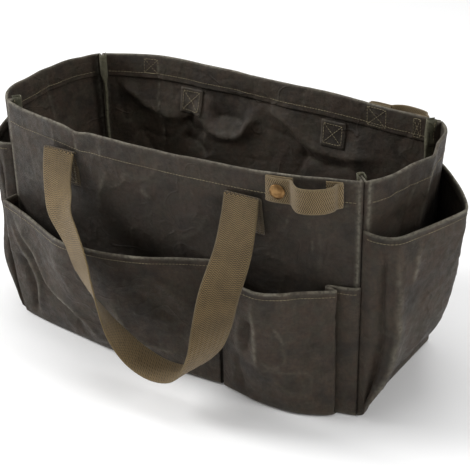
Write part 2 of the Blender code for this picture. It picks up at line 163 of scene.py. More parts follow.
CREASES = {
    "front": (
        (((-130.2, 254), (-129.5, 224)), 1.6, 0.7, 0.7),
        (((-99.6, 254), (-101, 228)), 1.8, -1.2, 0.9),
        (((-63, 254), (-67.5, 226)), 1.5, 0.7, 0.7),
        (((30, 254), (28, 232)), 2, 0.6, 0.3),
        (((-60, 215), (-74, 192), (-78, 160)), 5, 1.8, 0.35),
        (((-20, 206), (-10, 196)), 5, 1.4, 0.45),
        (((20, 160), (44, 174), (58, 196)), 9, 1.6, 0.2),
        (((-165, 205), (-150, 180), (-148, 150)), 7, 2, 0.3),
        (((70, 220), (82, 185), (80, 155)), 8, -2, 0),
        (((165, 225), (172, 190), (168, 150)), 7, 1.2, 0.2),
    ),
    "back": (
        (((-145, 254), (-144, 215), (-138, 172), (-140, 120)), 2.2, 1.6, 0.9),
        (((-196, 224), (-168, 206), (-143, 192), (-112, 190)), 8.5, -7.5, 0.25),
        (((-110, 190), (-98, 176), (-82, 172)), 6, 6, 0.75),
        (((-100, 206), (-82, 190), (-73, 181), (-42, 180), (-14, 212)), 6.5, -6.6, 0.2),
        (((-112, 166), (-90, 159), (-82, 146)), 6, 5.4, 0.6),
        (((-72, 196), (-50, 200), (-28, 192)), 11, 5.6, 0.25),
        (((-4, 222), (29, 208), (54, 190), (98, 188), (140, 196)), 8.5, -6.2, 0.2),
        (((40, 178), (75, 172), (110, 178)), 7, 4, 0.5),
        (((10, 150), (60, 130), (120, 140)), 14, 4, 0.15),
        (((-170, 170), (-150, 130), (-160, 80)), 9, 4, 0.25),
        (((150, 170), (165, 120), (155, 70)), 9, -4, 0),
    ),
    "left": (
        (((10, 254), (12, 200), (6, 120)), 6, 3, 0.5),
        (((-50, 200), (-10, 170), (45, 180)), 9, -4, 0.1),
        (((-40, 120), (0, 90), (50, 100)), 10, 4, 0.3),
    ),
    "right": (
        (((0, 254), (1, 210), (0, 150)), 2, 1, 1),
        (((-50, 254), (-47, 228)), 6, -2.2, 0.1),
        (((-20, 240), (-26, 205)), 6, 1.2, 0.2),
        (((-55, 215), (-30, 190), (-20, 150)), 9, -3, 0),
    ),
    "front_wide_pocket": (
        (((-196, 132), (-162, 99), (-146, 68), (-118, 58), (-91, 42), (-84, 8)), 5, 5, 0.8),
        (((-190, 112), (-170, 78), (-152, 50), (-120, 32), (-104, 4)), 9, -6, 0),
        (((-205, 124), (-194.5, 103), (-181.5, 81), (-170, 58), (-182, 14)), 3, 3.4, 0.8),
        (((-200, 86), (-186, 54), (-189, 28), (-190, 6)), 4, -6.2, 0),
        (((-52, 83), (-39, 44), (-6, 28), (22, 30)), 8, 3.4, 0.45),
        (((-20, 122), (8, 108), (34, 82)), 9, 1.6, 0.15),
        (((-30, 100), (0, 80), (30, 52)), 14, -5, 0),
        (((-120, 128), (-110, 100), (-90, 70)), 10, 2, 0.2),
        (((-60, 60), (-58, 30), (-50, 4)), 5, -3, 0),
    ),
    "front_small_pocket": (
        (((120, 128), (119.5, 100), (117.5, 78), (115, 48)), 4.8, 3, 0.8),
        (((112, 108), (108, 85), (101, 62)), 3.4, -5, 0),
        (((103, 110), (98.5, 85), (96, 60)), 4, 3, 0.4),
        (((140, 104), (147, 82)), 3, 1, 0.5),
        (((88, 60), (90, 30), (92, 4)), 5, -4, 0),
        (((130, 50), (145, 30), (170, 26)), 9, 1.6, 0.2),
    ),
    "right_end_pocket": (
        (((-86, 196), (-87, 165), (-88.5, 130), (-90, 90), (-92.5, 45), (-95, 4)), 5.6, -10, 0),
        (((-77.5, 192), (-76.5, 165), (-76, 130), (-77, 90), (-79, 40), (-80, 4)), 4.2, 3.6, 0.65),
        (((-56, 190), (-60, 165), (-64, 148)), 5, 2.6, 0.6),
        (((-30, 60), (5, 46), (35, 56)), 8, -3, 0.4),
        (((10, 150), (20, 110), (10, 80)), 10, 2, 0.2),
    ),
    "left_end_pocket": (
        (((-90, 196), (-89, 130), (-92, 60), (-94, 4)), 5.6, -6, 0),
        (((30, 190), (20, 140), (26, 80)), 8, -4, 0),
        (((-20, 180), (-26, 130), (-15, 80)), 7, 3, 0.6),
    ),
    "back_wide_pocket": (
        (((-170, 136), (-150, 90), (-160, 30)), 7, 4, 0.6),
        (((-110, 120), (-60, 80), (-40, 20)), 10, -5, 0),
        (((-20, 130), (10, 90), (0, 40)), 6, 3, 0.5),
        (((40, 120), (46, 60), (50, 10)), 6, -4, 0),
    ),
    "back_small_pocket": (
        (((90, 130), (96, 80), (84, 20)), 6, -4, 0),
        (((140, 130), (132, 90), (144, 40)), 6, 3, 0.6),
        (((180, 110), (172, 60), (180, 10)), 5, -3, 0),
    ),
}
SEEDS = {name: 3 + 11 * i for i, name in enumerate(CREASES)}


def creased(name, along, up):
    """(height, paleness) that a piece's own creases give at each point."""
    height, pale = np.zeros(np.shape(along)), np.zeros(np.shape(along))
    seed = SEEDS[name]
    x = along + noise(along, up, 0.018, seed) * 0.0016
    y = up + noise(along, up, 0.018, seed + 1) * 0.0016
    for line, width, rise, shade in CREASES[name]:
        line, width, rise = np.array(line) * MM, width * MM, rise * MM
        gap, flank, place = line_distance(x, y, smooth_curve(line, 12) if len(line) > 2 else line)
        ends = ramp(place, -0.05, 0.18) * ramp(place, 1.05, 0.80)
        crest = min(width * 0.35, 0.0016)
        slope = np.where(flank > 0, width * 1.5, width * 0.85)
        height = height + rise * ends * np.exp(-(np.sqrt(gap**2 + crest**2) - crest) / slope)
        broken = 0.50 + 0.32 * noise(along, up, 0.014, seed + 2) + 0.30 * noise(along, up, 0.005, seed + 2)
        pale = np.maximum(pale, shade * 0.85 * ends * broken * np.exp(-((gap / min(width * 0.45, 0.0020)) ** 2)))
    return height, pale


def crumpled(name, along, up, amount=1.0):
    """(height, paleness) of the slack and the small crumples that handling leaves."""
    seed = SEEDS[name]
    slack = noise(along, up, 0.085, seed + 3) * 0.0020 + noise(along, up, 0.038, seed + 4) * 0.0009
    sharp = ridges(along, up, 0.030, seed + 6) ** 3 * 0.0011 + ridges(along, up, 0.013, seed + 7) ** 3 * 0.0003
    small = noise(along, up, 0.011, seed + 8) * 0.00012
    lines = ramp(ridges(along, up, 0.030, seed + 6), 0.80, 0.99) * ramp(noise(along, up, 0.05, seed + 9), 0.0, 0.7)
    return (slack + sharp - 0.0004 + small) * amount, lines * 0.20


# ---- Cloth pieces

class Cloth:
    """A grid of points. across and up give each column's and row's place on the flat cut."""

    def __init__(self, name, points, across=None, up=None, pale=None):
        self.name = name
        self.points = np.array(points, float)
        self.across = across if across is not None else self.run(1)
        self.up = up if up is not None else self.run(0)
        self.pale = np.zeros(self.points.shape[:2]) if pale is None else pale
        # Painted shade: how far each point's canvas colour is pulled to its darkest tone; none unless set.
        self.grime = np.zeros(self.points.shape[:2])
        self.normals = self.find_normals()

    def run(self, axis):
        """Places along the grid's middle line in one direction."""
        middle = self.points.shape[1 - axis] // 2
        line = self.points[middle] if axis else self.points[:, middle]
        return np.concatenate([[0], np.cumsum(np.linalg.norm(np.diff(line, axis=0), axis=1))])

    def find_normals(self):
        rise = np.gradient(self.points, axis=0)
        run = np.gradient(self.points, axis=1)
        return unit(np.cross(run, rise))

    def at(self, across, up):
        """(points, normals) at places on the flat cut."""
        c = np.interp(across, self.across, np.arange(len(self.across)))
        r = np.interp(up, self.up, np.arange(len(self.up)))
        i = np.minimum(r.astype(int), len(self.up) - 2)
        j = np.minimum(c.astype(int), len(self.across) - 2)
        u, v = (c - j)[:, None], (r - i)[:, None]

        def mixed(g):
            low = g[i, j] * (1 - u) + g[i, j + 1] * u
            return low * (1 - v) + (g[i + 1, j] * (1 - u) + g[i + 1, j + 1] * u) * v

        return mixed(self.points), unit(mixed(self.normals))

    def build(self, thickness, look, ring=False):
        rows, columns = self.points.shape[:2]
        index = np.arange(rows * columns).reshape(rows, columns)
        if ring:
            index = np.hstack([index[:, :-1], index[:, :1]])
        place = np.stack(np.meshgrid(self.across, self.up), -1)
        marks = {"pale": self.pale.ravel(), "grime": self.grime.ravel()}
        thing = add_mesh(self.name, self.points, cells(index).tolist(), look, cells(place).reshape(-1, 2), marks)
        thing.data.validate()
        solid = thing.modifiers.new("Thickness", "SOLIDIFY")
        solid.thickness = thickness
        solid.offset = 0.0
        return thing


def cells(grid):
    """The four corners of each cell of a grid."""
    corners = np.stack([grid[:-1, :-1], grid[:-1, 1:], grid[1:, 1:], grid[1:, :-1]], 2)
    return corners.reshape(-1, *corners.shape[2:])


def add_mesh(name, points, faces, look, uv=None, marks=None):
    """A smooth mesh object, with its coordinates on the flat cut and its marks."""
    mesh = bpy.data.meshes.new(name)
    mesh.from_pydata(np.reshape(points, (-1, 3)).tolist(), [], faces)
    if uv is not None:
        mesh.uv_layers.new(name="Cut").data.foreach_set("uv", uv.astype(np.float32).ravel())
    for key, values in (marks or {}).items():
        mesh.attributes.new(key, "FLOAT", "POINT").data.foreach_set("value", values.astype(np.float32))
    mesh.shade_smooth()
    mesh.materials.append(look)
    thing = bpy.data.objects.new(name, mesh)
    bpy.context.scene.collection.objects.link(thing)
    return thing


def keep(thing, body, slot, *nodes):
    """Rides a piece on its body and hides the CAD nodes it stands for."""
    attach(thing, body)
    if nodes:
        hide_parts(*nodes)
    return thing


# ---- The walls' shape, as in the CAD model

def bow(side, s, z):
    t = np.clip(z / HEIGHT, 0, None)
    if side == "front":
        return (1 - np.abs(s) ** 3) * (0.016 + 0.016 * t**2)
    if side == "back":
        return (1 - s**4) * (0.008 + (0.011 - 0.013 * s) * t**2)
    if side == "left":
        return (1 - s**4) * 0.024 * t**1.5
    crease = 0.009 * np.maximum(0.0, 1 - np.sqrt(s**2 + 0.0006) / 0.35)
    return ((1 - s**4) * 0.022 + crease) * t**1.5


def half_of(side):
    return HALF_L if side in LONG else HALF_W


def relief(side, along, z):
    """(height, paleness) of a wall's creases and slack, which die out at its seams and near the floor."""
    half = half_of(side)
    free = ramp(half - np.abs(along), 0.004, 0.030) * ramp(z, 0.0, 0.03)
    behind_pocket = 0.35 + 0.65 * ramp(z, 0.120, 0.165)
    rim = 1 - 0.55 * ramp(z, HEIGHT - 0.030, HEIGHT - 0.010)
    drop, wear_and_painted_shade = crumpled(side, along, z)
    height, pale = creased(side, along, z)
    amount = 1.25 if side == "back" else 1.0
    return (drop * rim * amount + height) * free * behind_pocket, np.maximum(pale, wear_and_painted_shade)


def settle(points):
    """The right end stands a little further in at the floor than at the rim."""
    moved = np.array(points, float)
    lean = (1 - np.clip(moved[..., 2] / HEIGHT, 0, 1)) ** 1.3
    moved[..., 0] -= LEAN * lean * ramp(moved[..., 0], 0.13, 0.21)
    return moved


def plan_wall(side, along, z, out):
    """Points out from the middle of a wall's canvas, square to the wall as seen from above."""
    half = half_of(side)
    step = 1e-4
    reach = bow(side, along / half, z)
    slope = (bow(side, (along + step) / half, z) - bow(side, (along - step) / half, z)) / (2 * step)
    long = np.sqrt(1 + slope**2)
    moved = along - slope / long * out
    reach = reach + out / long
    sign = sum(SIDES[side])
    if side in LONG:
        return settle(np.stack([moved, sign * (HALF_W + reach), z], -1))
    return settle(np.stack([sign * (HALF_L + reach), moved, z], -1))


def wall_at(side, along, z, out):
    along, z, out = np.broadcast_arrays(np.asarray(along, float), z, out)
    return plan_wall(side, along, z, out + relief(side, along, z)[0])


LIP_RUN = 0.0052
SEAM_DEPTH = 0.0026


def seam_lip(side, end, z, out, t):
    """Points on the curve by which a wall turns in to the seam at its corner, t from 0 on the wall to 1 in the seam."""
    half = half_of(side)
    near = plan_wall(side, np.full(z.shape, end * (half - LIP_RUN)), z, out)
    before = plan_wall(side, np.full(z.shape, end * (half - LIP_RUN - 0.001)), z, out)
    sx, sy = (end, sum(SIDES[side])) if side in LONG else (sum(SIDES[side]), end)
    inward = np.array([-sx, -sy, 0]) / math.sqrt(2)
    aside = np.array([-sx, sy, 0]) / math.sqrt(2) * (1 if side in LONG else -1)
    corner = np.zeros((*z.shape, 3)) + np.array([sx * HALF_L, sy * HALF_W, 0])
    corner[..., 2] = z
    corner = settle(corner)
    layer = CANVAS * 0.62 + np.maximum(-out, 0)[..., None] * 0.8
    last = corner + inward * (SEAM_DEPTH - np.maximum(out, 0)[..., None] * 1.2) + aside * layer
    first_pull = near + unit(near - before) * LIP_RUN * 0.55
    last_pull = last - inward * LIP_RUN * 0.65
    t = t[..., None]
    curve = near * (1 - t) ** 3 + 3 * first_pull * t * (1 - t) ** 2 + 3 * last_pull * t**2 * (1 - t) + last * t**3
    return curve, inward


def rim_drift(side, along):
    """How far the rim lies above or below its own height."""
    seed = SEEDS[side]
    drift = noise(along, 0 * along, 0.070, seed + 12) * 0.0012 + noise(along, 0 * along, 0.022, seed + 13) * 0.0006
    if side == "back":
        drift = drift + 0.0012 * ramp(along, 0.08, -0.06)
    if side == "front":
        drift = drift - 0.0030 * np.exp(-(((along + 0.096) / 0.012) ** 2))
    return drift * ramp(half_of(side) - np.abs(along), 0.002, 0.02)


def hem_path():
    """(inwards, z) from the floor seam up a wall, over its rim, down inside it and under the hem's turned edge."""
    top = HEIGHT - CANVAS / 2 - 0.0012
    path = [(0.0034, 0.0010), (0.0018, 0.0008), (0.0006, 0.0014), (0.0, 0.0030)]
    path += [(0.0, z) for z in spread(0.0055, top, 0.0024)]
    path += [(0.0012 * (1 - math.cos(a)), top + 0.0012 * math.sin(a)) for a in np.radians((30, 60, 90, 120, 150))]
    path += [(0.0023 + 0.0004 * math.sin(math.pi * f), top - f * HEM * 0.88) for f in np.linspace(0.02, 1, 12)]
    foot = top - HEM
    path += [(0.0025, foot + 0.0008), (0.0023, foot), (0.0018, foot - 0.0004), (0.0014, foot + 0.0004)]
    path += [(0.0012, foot + 0.003)]
    return np.array(path)


def wall_cloth(side):
    path = hem_path()
    half = half_of(side)
    along = spread(-(half - LIP_RUN), half - LIP_RUN, 0.0024)
    inward, z = (np.broadcast_to(path[:, i : i + 1], (len(path), len(along))).copy() for i in (0, 1))
    grid_along = np.broadcast_to(along, z.shape)
    at_rim = ramp(z, HEIGHT - 0.034, HEIGHT - 0.012)
    height, pale = relief(side, grid_along, z)
    middle = plan_wall(side, grid_along, z, height - inward)
    middle[..., 2] += rim_drift(side, grid_along) * at_rim
    blocks, places = [middle], [along]
    for end in (-1, 1):
        t = np.linspace(0, 1, 8)[1:]
        zz, ii = (np.broadcast_to(path[:, i : i + 1], (len(path), len(t))) for i in (1, 0))
        lip, inward_line = seam_lip(side, end, zz, -ii, np.broadcast_to(t, zz.shape))
        deep = np.array([0.0035, 0.0075, 0.0115])
        allowance = lip[:, -1:] + inward_line * deep[None, :, None]
        block = np.concatenate([lip, allowance], axis=1)
        place = end * (half - LIP_RUN + np.concatenate([t * 0.008, 0.008 + deep]))
        blocks = [block[:, ::-1], *blocks] if end < 0 else [*blocks, block]
        places = [place[::-1], *places] if end < 0 else [*places, place]
    points = np.concatenate(blocks, axis=1)
    across = np.concatenate(places)
    flip = side in ("back", "left")
    rim = np.exp(-(((path[:, 1] - HEIGHT) / 0.0016) ** 2))[:, None] * 0.8
    foot = np.exp(-((path[:, 1] / 0.004) ** 2))[:, None] * 0.5
    wear_and_painted_shade = np.pad(pale, ((0, 0), (10, 10)), mode="constant")
    wear_and_painted_shade = np.maximum(wear_and_painted_shade, np.maximum(rim, foot) * (0.65 + 0.35 * noise(across[None], path[:, 1:], 0.02, 4)))
    lip_wear = 0.5 * np.exp(-(((half - 0.0035 - np.abs(across)) / 0.0016) ** 2))[None]
    wear_and_painted_shade = np.maximum(wear_and_painted_shade, lip_wear * np.ones_like(wear_and_painted_shade))
    up = np.concatenate([[0], np.cumsum(np.hypot(*np.diff(path, axis=0).T))])
    cloth = Cloth(wall_name(side), points, across, up, wear_and_painted_shade)
    # Painted shade: the front and right walls are darkened a little everywhere and more from the rim down to the pocket
    # mouths, where the pockets shade them; the back and left walls get a tenth of it.
    cloth.grime = (0.10 + 0.42 * ramp(points[..., 2], 0.245, 0.140)) * (1 if side in ("front", "right") else 0.1)
    outer = path[:, 0] == 0
    cloth.hem_line = np.interp(HEIGHT - HEM + 0.0022, path[outer, 1], up[outer])
    if flip:
        cloth.normals = -cloth.normals
    return cloth


# ---- Pockets

WIDE_LIP = (
    (-208.9, -80.6, -0.4), (-210.8, -82.2, 1), (-212.2, -88, 2.2), (-213.8, -96.5, 3.5), (-213.4, -99.2, 3.8),
    (-201, -103, 4), (-170, -114, 4), (-142, -126, 3.8), (-118, -136, 4.5), (-98, -141.5, 5.8), (-64, -140.5, 7.5),
    (-40, -137.5, 7.2), (-9, -130, 5.8), (25, -116, 5.2), (50, -107, 5), (60, -104.6, 4),
)
SMALL_LIP = (
    (64, -104.4, 4.5), (68, -109, 6.2), (76, -119, 7.8), (90, -128, 10.8), (108, -133, 15), (127, -133.5, 17),
    (145, -125, 18), (161, -112, 17.2), (180, -101, 12.8), (189.3, -95.3, 9.2), (190.5, -94, 7.8),
    (189.3, -92.8, 6.2), (180, -91.2, 4), (178.6, -90.4, 3.2), (180, -89.8, 2.2), (190, -88.6, 1.8),
    (204, -86.6, 1.6), (208.8, -83.8, 1.4), (210.6, -82.2, 0.8), (208.9, -80.6, -0.4),
)
END_LIP = MM * np.array((
    (209.7, -79.9), (211.3, -81.8), (213, -81.8), (216, -82.6), (222, -83.8), (234, -83.5), (245, -76.5), (253, -61),
    (260, -46), (269, -23), (275.2, -4), (275, 3), (269, 15), (255, 35), (232, 62), (217, 77), (213, 81.2),
    (211.3, 81.8), (209.7, 79.9),
))
END_TURN = END_LIP[5]
IN_SEAM = 0.2125
POCKET_FOOT = 0.0009
POCKET_GAP = CANVAS + CLEAR
FRONT_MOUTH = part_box("back_wide_pocket")[1].z
FRONT_SAG = 0.004
END_MOUTH = (0.204, 0.209)
POCKET_HEM = 0.0085
MOUTH_STITCH_DROP = 0.0068


def pocket_path(mouth):
    """Rows of a pocket, as (v, drop inwards, z share): up to its mouth, over it and down inside its narrow hem."""
    v = np.concatenate([[0.0, 0.006, 0.014, 0.026], spread(0.042, 1, 0.0024 / mouth)])
    rows = [(f, 0.0, 0.0) for f in v[:-1]]
    rows += [(1.0, 0.0, -0.0006), (1.0, 0.0003, 0.0001), (1.0, 0.0010, 0.0004), (1.0, 0.0017, 0.0001)]
    rows += [(1.0, 0.0020, -f * POCKET_HEM) for f in (0.1, 0.3, 0.5, 0.7, 0.88)]
    rows += [(1.0, 0.0018, -POCKET_HEM), (1.0, 0.0012, -POCKET_HEM + 0.0006), (1.0, 0.0010, -POCKET_HEM + 0.0024)]
    return np.array(rows)


def leaving(v):
    """How much of its full standoff a pocket has at v of its height."""
    return 1 - (1 - np.clip(v, 0, 1)) ** 2.1


def finish_pocket(name, base, frame_u, along, z, path, mouth):
    """Adds the creases, the hem's inner layer and the wear to a pocket's smooth surface."""
    base = settle(base)
    rise = np.gradient(base, axis=0)
    run = np.gradient(base, axis=1)
    flat_rows = path[:, 1] == 0
    rise[~flat_rows] = rise[np.flatnonzero(flat_rows)[-1]]
    out = unit(np.cross(run, rise))
    free = ramp(frame_u, 0.0, 0.07) * ramp(frame_u, 1.0, 0.93) * ramp(z, 0.002, 0.022)
    near_mouth = 1 - 0.6 * ramp(z, mouth - 0.020, mouth - 0.006)
    drop, wear_and_painted_shade = crumpled(name, along, z, 0.9)
    height, pale = creased(name, along, z)
    points = base + out * ((drop * near_mouth + height) * free - path[:, 1:2])[..., None]
    rim = np.exp(-(((path[:, 0:1] - 1) * mouth + path[:, 2:3]) / 0.0014) ** 2) * 0.85
    foot = np.exp(-((z / 0.0035) ** 2)) * 0.6
    pale = np.maximum(np.maximum(pale, wear_and_painted_shade), np.maximum(rim, foot) * (0.65 + 0.35 * noise(along, z, 0.016, 9)))
    return points, pale


def front_pocket(name, lip, columns):
    lip = smooth_curve(np.array(lip) * MM, columns)
    path = pocket_path(FRONT_MOUTH)
    u = np.broadcast_to(np.linspace(0, 1, columns), (len(path), columns))
    v = path[:, 0:1]
    mouth = FRONT_MOUTH - FRONT_SAG * np.sin(math.pi * u)
    z = POCKET_FOOT + v * (mouth - POCKET_FOOT) + path[:, 2:3]
    x, y, foot = (np.broadcast_to(lip[:, i], u.shape) for i in range(3))
    s = np.clip(x / HALF_L, -1, 1)
    seam = HALF_W + bow("front", s, z)
    room = -y - HALF_W - bow("front", s, mouth)
    stand = np.where(np.abs(x) > 0.2082, room, np.maximum(room, POCKET_GAP * 0.9))
    reach = foot + (stand - foot) * leaving(v)
    roll = ramp(v * mouth, -0.0003, 0.0018)
    base = np.stack([s * HALF_L + (x - s * HALF_L) * v, -(seam + reach * roll), z], -1)
    points, pale = finish_pocket(name, base, u, np.broadcast_to(x, u.shape), z, path, FRONT_MOUTH)
    across = np.concatenate([[0], np.cumsum(np.hypot(*np.diff(lip[:, :2], axis=0).T))])
    return pocket_cloth(name, points, across, path, FRONT_MOUTH, pale)


def pocket_cloth(name, points, across, path, mouth, pale):
    up = path[:, 0] * mouth + np.concatenate([[0], np.cumsum(np.hypot(*np.diff(path[:, 1:], axis=0).T))])
    cloth = Cloth(f"{name}_cloth", points, across, up, pale)
    rows = path[:, 1] == 0
    cloth.mouth = up[rows][-1]
    return cloth


def back_pocket(name, start, end, stand, columns):
    path = pocket_path(FRONT_MOUTH)
    u = np.broadcast_to(np.linspace(0, 1, columns), (len(path), columns))
    v = path[:, 0:1]
    mouth = FRONT_MOUTH - FRONT_SAG * np.sin(math.pi * u) * 0.6
    z = POCKET_FOOT + v * (mouth - POCKET_FOOT) + path[:, 2:3]
    x = end + (start - end) * u
    swell = (stand * np.sin(math.pi * np.clip(u, 0, 1)) ** 0.6) * leaving(v)
    foot = 0.005 * np.sin(math.pi * u) ** 0.5 * ramp(v * FRONT_MOUTH, -0.0005, 0.0035)
    base = plan_wall("back", x, z, POCKET_GAP + np.maximum(swell, foot))
    points, pale = finish_pocket(name, base, u, x, z, path, FRONT_MOUTH)
    across = np.linspace(0, abs(end - start) * 1.02, columns)
    return pocket_cloth(name, points, across, path, FRONT_MOUTH, pale)


def end_pocket(side, columns=116):
    name = f"{side}_end_pocket"
    sign = sum(SIDES[side])
    lip = smooth_curve(END_LIP, columns)
    if side == "left":
        lip = lip[::-1]
    mouth_height = max(END_MOUTH)
    path = pocket_path(mouth_height)
    shape = (len(path), columns)
    v = path[:, 0:1]
    share_back = (lip[:, 1] - END_LIP[0][1]) / (END_LIP[-1][1] - END_LIP[0][1])
    mouth = np.broadcast_to(END_MOUTH[0] + (END_MOUTH[1] - END_MOUTH[0]) * share_back, shape)
    z = POCKET_FOOT + v * (mouth - POCKET_FOOT) + path[:, 2:3]
    s = np.broadcast_to(np.clip(share_back * 2 - 1, -1, 1) * (0.0795 / HALF_W), shape)
    wall_x = HALF_L + bow(side, s, z)
    rim_x = HALF_L + bow(side, s, mouth)
    share = leaving(v)
    room = lip[:, 0] - rim_x
    swell = 1.05 * (1 - np.exp(-((v / 0.24) ** 1.8))) - 0.05 * ramp(v, 0.75, 1.0)
    clear = np.maximum(room * swell, POCKET_GAP * ramp(v * mouth, -0.001, 0.003))
    x = wall_x + np.where(lip[:, 0] < IN_SEAM, np.minimum(room, POCKET_GAP), clear)
    if side == "left":
        sunk = 0.0060 * ramp(v, 0.25, 0.70) + 0.0075 * np.exp(-(((v - 0.50) / 0.22) ** 2))
        x = x - sunk * ramp(lip[:, 0], IN_SEAM, 0.2360)
    edge = ramp(lip[:, 1], -0.040, -0.080) * ramp(lip[:, 0], 0.2097, 0.2130)
    low = (1 - v) ** 0.8 * ramp(v * mouth, -0.003, 0.007)
    x = x + 0.0080 * edge * low
    y = s * HALF_W + (lip[:, 1] - s * HALF_W) * share - 0.0032 * edge**4 * low
    base = np.stack([sign * x, y, z], -1)
    u = np.broadcast_to(np.linspace(0, 1, columns), shape)
    turn_x, turn_y = END_TURN
    flank = (lip[:, 1] < 0) & (lip[:, 0] < turn_x)
    along = np.where(flank, turn_y - (turn_x - lip[:, 0]), lip[:, 1])
    points, pale = finish_pocket(name, base, u, np.broadcast_to(along, shape), z, path, mouth_height)
    across = np.concatenate([[0], np.cumsum(np.hypot(*np.diff(lip, axis=0).T))])
    return pocket_cloth(name, points, across, path, mouth_height, pale)


# ---- Webbing, stitches and turned metal

def ribbon(name, centres, across, width, look, grime=0.0):
    """A band of webbing through the centres, with rounded edges and closed ends, and a darkening from 0 to 1 along it,
    which the handles use for painted shade on their sewn ends.
    """
    span = np.array([-1, -0.985, -0.955, -0.90, -0.6, -0.3, 0, 0.3, 0.6, 0.90, 0.955, 0.985, 1])
    lift = np.sqrt(np.clip(1 - np.abs(span) ** 26, 0, 1)) * WEBBING / 2
    across = unit(across)
    run = unit(np.gradient(centres, axis=0))
    normal = unit(np.cross(across, run))
    order = np.concatenate([np.arange(13), np.arange(11, 0, -1)])
    side = np.concatenate([np.ones(13), -np.ones(11)])
    offset = span[order] * width / 2
    height = lift[order] * side
    points = centres[:, None] + across[:, None] * offset[None, :, None] + normal[:, None] * height[None, :, None]
    rows, ring = points.shape[:2]
    index = np.arange(rows * ring).reshape(rows, ring)
    length = np.concatenate([[0], np.cumsum(np.linalg.norm(np.diff(centres, axis=0), axis=1))])
    place = np.stack(np.broadcast_arrays(offset, length[:, None]), -1)
    faces, uv = (cells(np.concatenate([grid, grid[:, :1]], axis=1)) for grid in (index, place))
    caps = []
    for j in range(ring // 2):
        under, after = (ring - j) % ring, ring - j - 1
        caps += [index[0, [j, under, after, j + 1]], index[-1, [j, j + 1, after, under]]]
    caps = [tuple(dict.fromkeys(face.tolist())) for face in caps]
    cap_uv = points.reshape(-1, 3)[np.concatenate(caps)][:, :2]
    marks = {"grime": np.repeat(np.broadcast_to(grime, rows), ring)}
    thing = add_mesh(name, points, faces.tolist() + caps, look, np.vstack([uv.reshape(-1, 2), cap_uv]), marks)
    return thing, float(length[-1])


def stitches(name, rows, look):
    """One mesh of every stitch in the rows. A row is (starts, ends, normals), as arrays."""
    starts, ends, normals = (np.concatenate([row[i] for row in rows]) for i in range(3))
    run = ends - starts
    side = unit(np.cross(run, normals))
    lift = unit(np.cross(side, run))
    lift = np.where((lift * normals).sum(-1, keepdims=True) < 0, -lift, lift)
    along = np.array([0, 0.04, 0.14, 0.32, 0.5, 0.68, 0.86, 0.96, 1])
    swell = np.array([0.25, 0.62, 0.95, 1.05, 1.0, 1.05, 0.95, 0.62, 0.25]) * THREAD
    arch = np.sin(math.pi * along) * THREAD * 0.9 - THREAD * 0.75
    angle = np.arange(6) * TAU / 6
    middle = starts[:, None] + run[:, None] * along[:, None] + lift[:, None] * arch[:, None]
    turn = side[:, None] * np.cos(angle)[:, None] + lift[:, None] * np.sin(angle)[:, None] * 0.8
    points = middle[:, :, None] + turn[:, None] * swell[:, None, None]
    count = len(starts)
    index = np.arange(count * 54).reshape(count, 9, 6)
    after = np.roll(index, -1, axis=2)
    faces = np.stack([index[:, :-1], after[:, :-1], after[:, 1:], index[:, 1:]], -1).reshape(-1, 4)
    ends_faces = np.concatenate([index[:, 0, ::-1], index[:, -1]])
    return add_mesh(name, points, faces.tolist() + ends_faces.tolist(), look)


def seam(surface, line, lift):
    """A row of stitches along a line of places, lying on a surface: surface(a, b) gives points and normals."""
    line = np.array(line, float)
    steps = np.linalg.norm(np.diff(line, axis=0), axis=1)
    total = steps.sum()
    count = max(1, int(round(total / STITCH)))
    at = np.linspace(0, total, count + 1)
    run = np.concatenate([[0], np.cumsum(steps)])

    def spot(t):
        return surface(*(np.interp(t, run, line[:, i]) for i in (0, 1)))

    gap = STITCH * 0.11
    first, normal_a = spot(at[:-1] + gap)
    last, normal_b = spot(at[1:] - gap)
    wander = (lattice(np.arange(count), count, 3) - 0.5)[:, None] * 0.00025
    aside = unit(np.cross(last - first, normal_a)) * wander
    return first + normal_a * lift + aside, last + normal_b * lift - aside, unit(normal_a + normal_b)


def boxed(x0, x1, y0, y1):
    """The lines of a sewn box with a cross in it."""
    return (
        ((x0, y0), (x1, y0), (x1, y1), (x0, y1), (x0, y0)),
        ((x0, y0), (x1, y1)),
        ((x0, y1), (x1, y0)),
    )


def turned(name, profile, middle, direction, look, segments=48):
    """A piece turned from an (r, out) outline about a direction through a point."""
    profile = np.array(profile, float)
    angle = np.arange(segments) * TAU / segments
    ring = np.stack([np.cos(angle), np.sin(angle)], -1)
    axis_ends = [i for i in (0, len(profile) - 1) if profile[i, 0] < 1e-6]
    points, rows = [], []
    for i, (r, h) in enumerate(profile):
        if i in axis_ends:
            rows.append([len(points)] * segments)
            points.append((0, 0, h))
        else:
            rows.append(list(range(len(points), len(points) + segments)))
            points += [(x * r, y * r, h) for x, y in ring]
    closed = np.allclose(profile[0], profile[-1])
    if closed:
        points, rows = points[: len(points) - segments], rows[:-1] + [rows[0]]
    faces = []
    for low, high in zip(rows, rows[1:]):
        for i in range(segments):
            j = (i + 1) % segments
            faces.append(tuple(dict.fromkeys((low[i], high[i], high[j], low[j]))))
    thing = add_mesh(name, points, faces, look)
    thing.data.transform(Matrix.Translation(middle) @ direction.to_track_quat("Z", "Y").to_matrix().to_4x4())
    thing.data.set_sharp_from_angle(angle=math.radians(40))
    return thing


# ---- Materials

def linear(code):
    """A colour written as six hexadecimal digits, as linear light."""
    channels = [int(code[i : i + 2], 16) / 255 for i in (0, 2, 4)]
    return (*(c / 12.92 if c <= 0.04045 else ((c + 0.055) / 1.055) ** 2.4 for c in channels), 1)


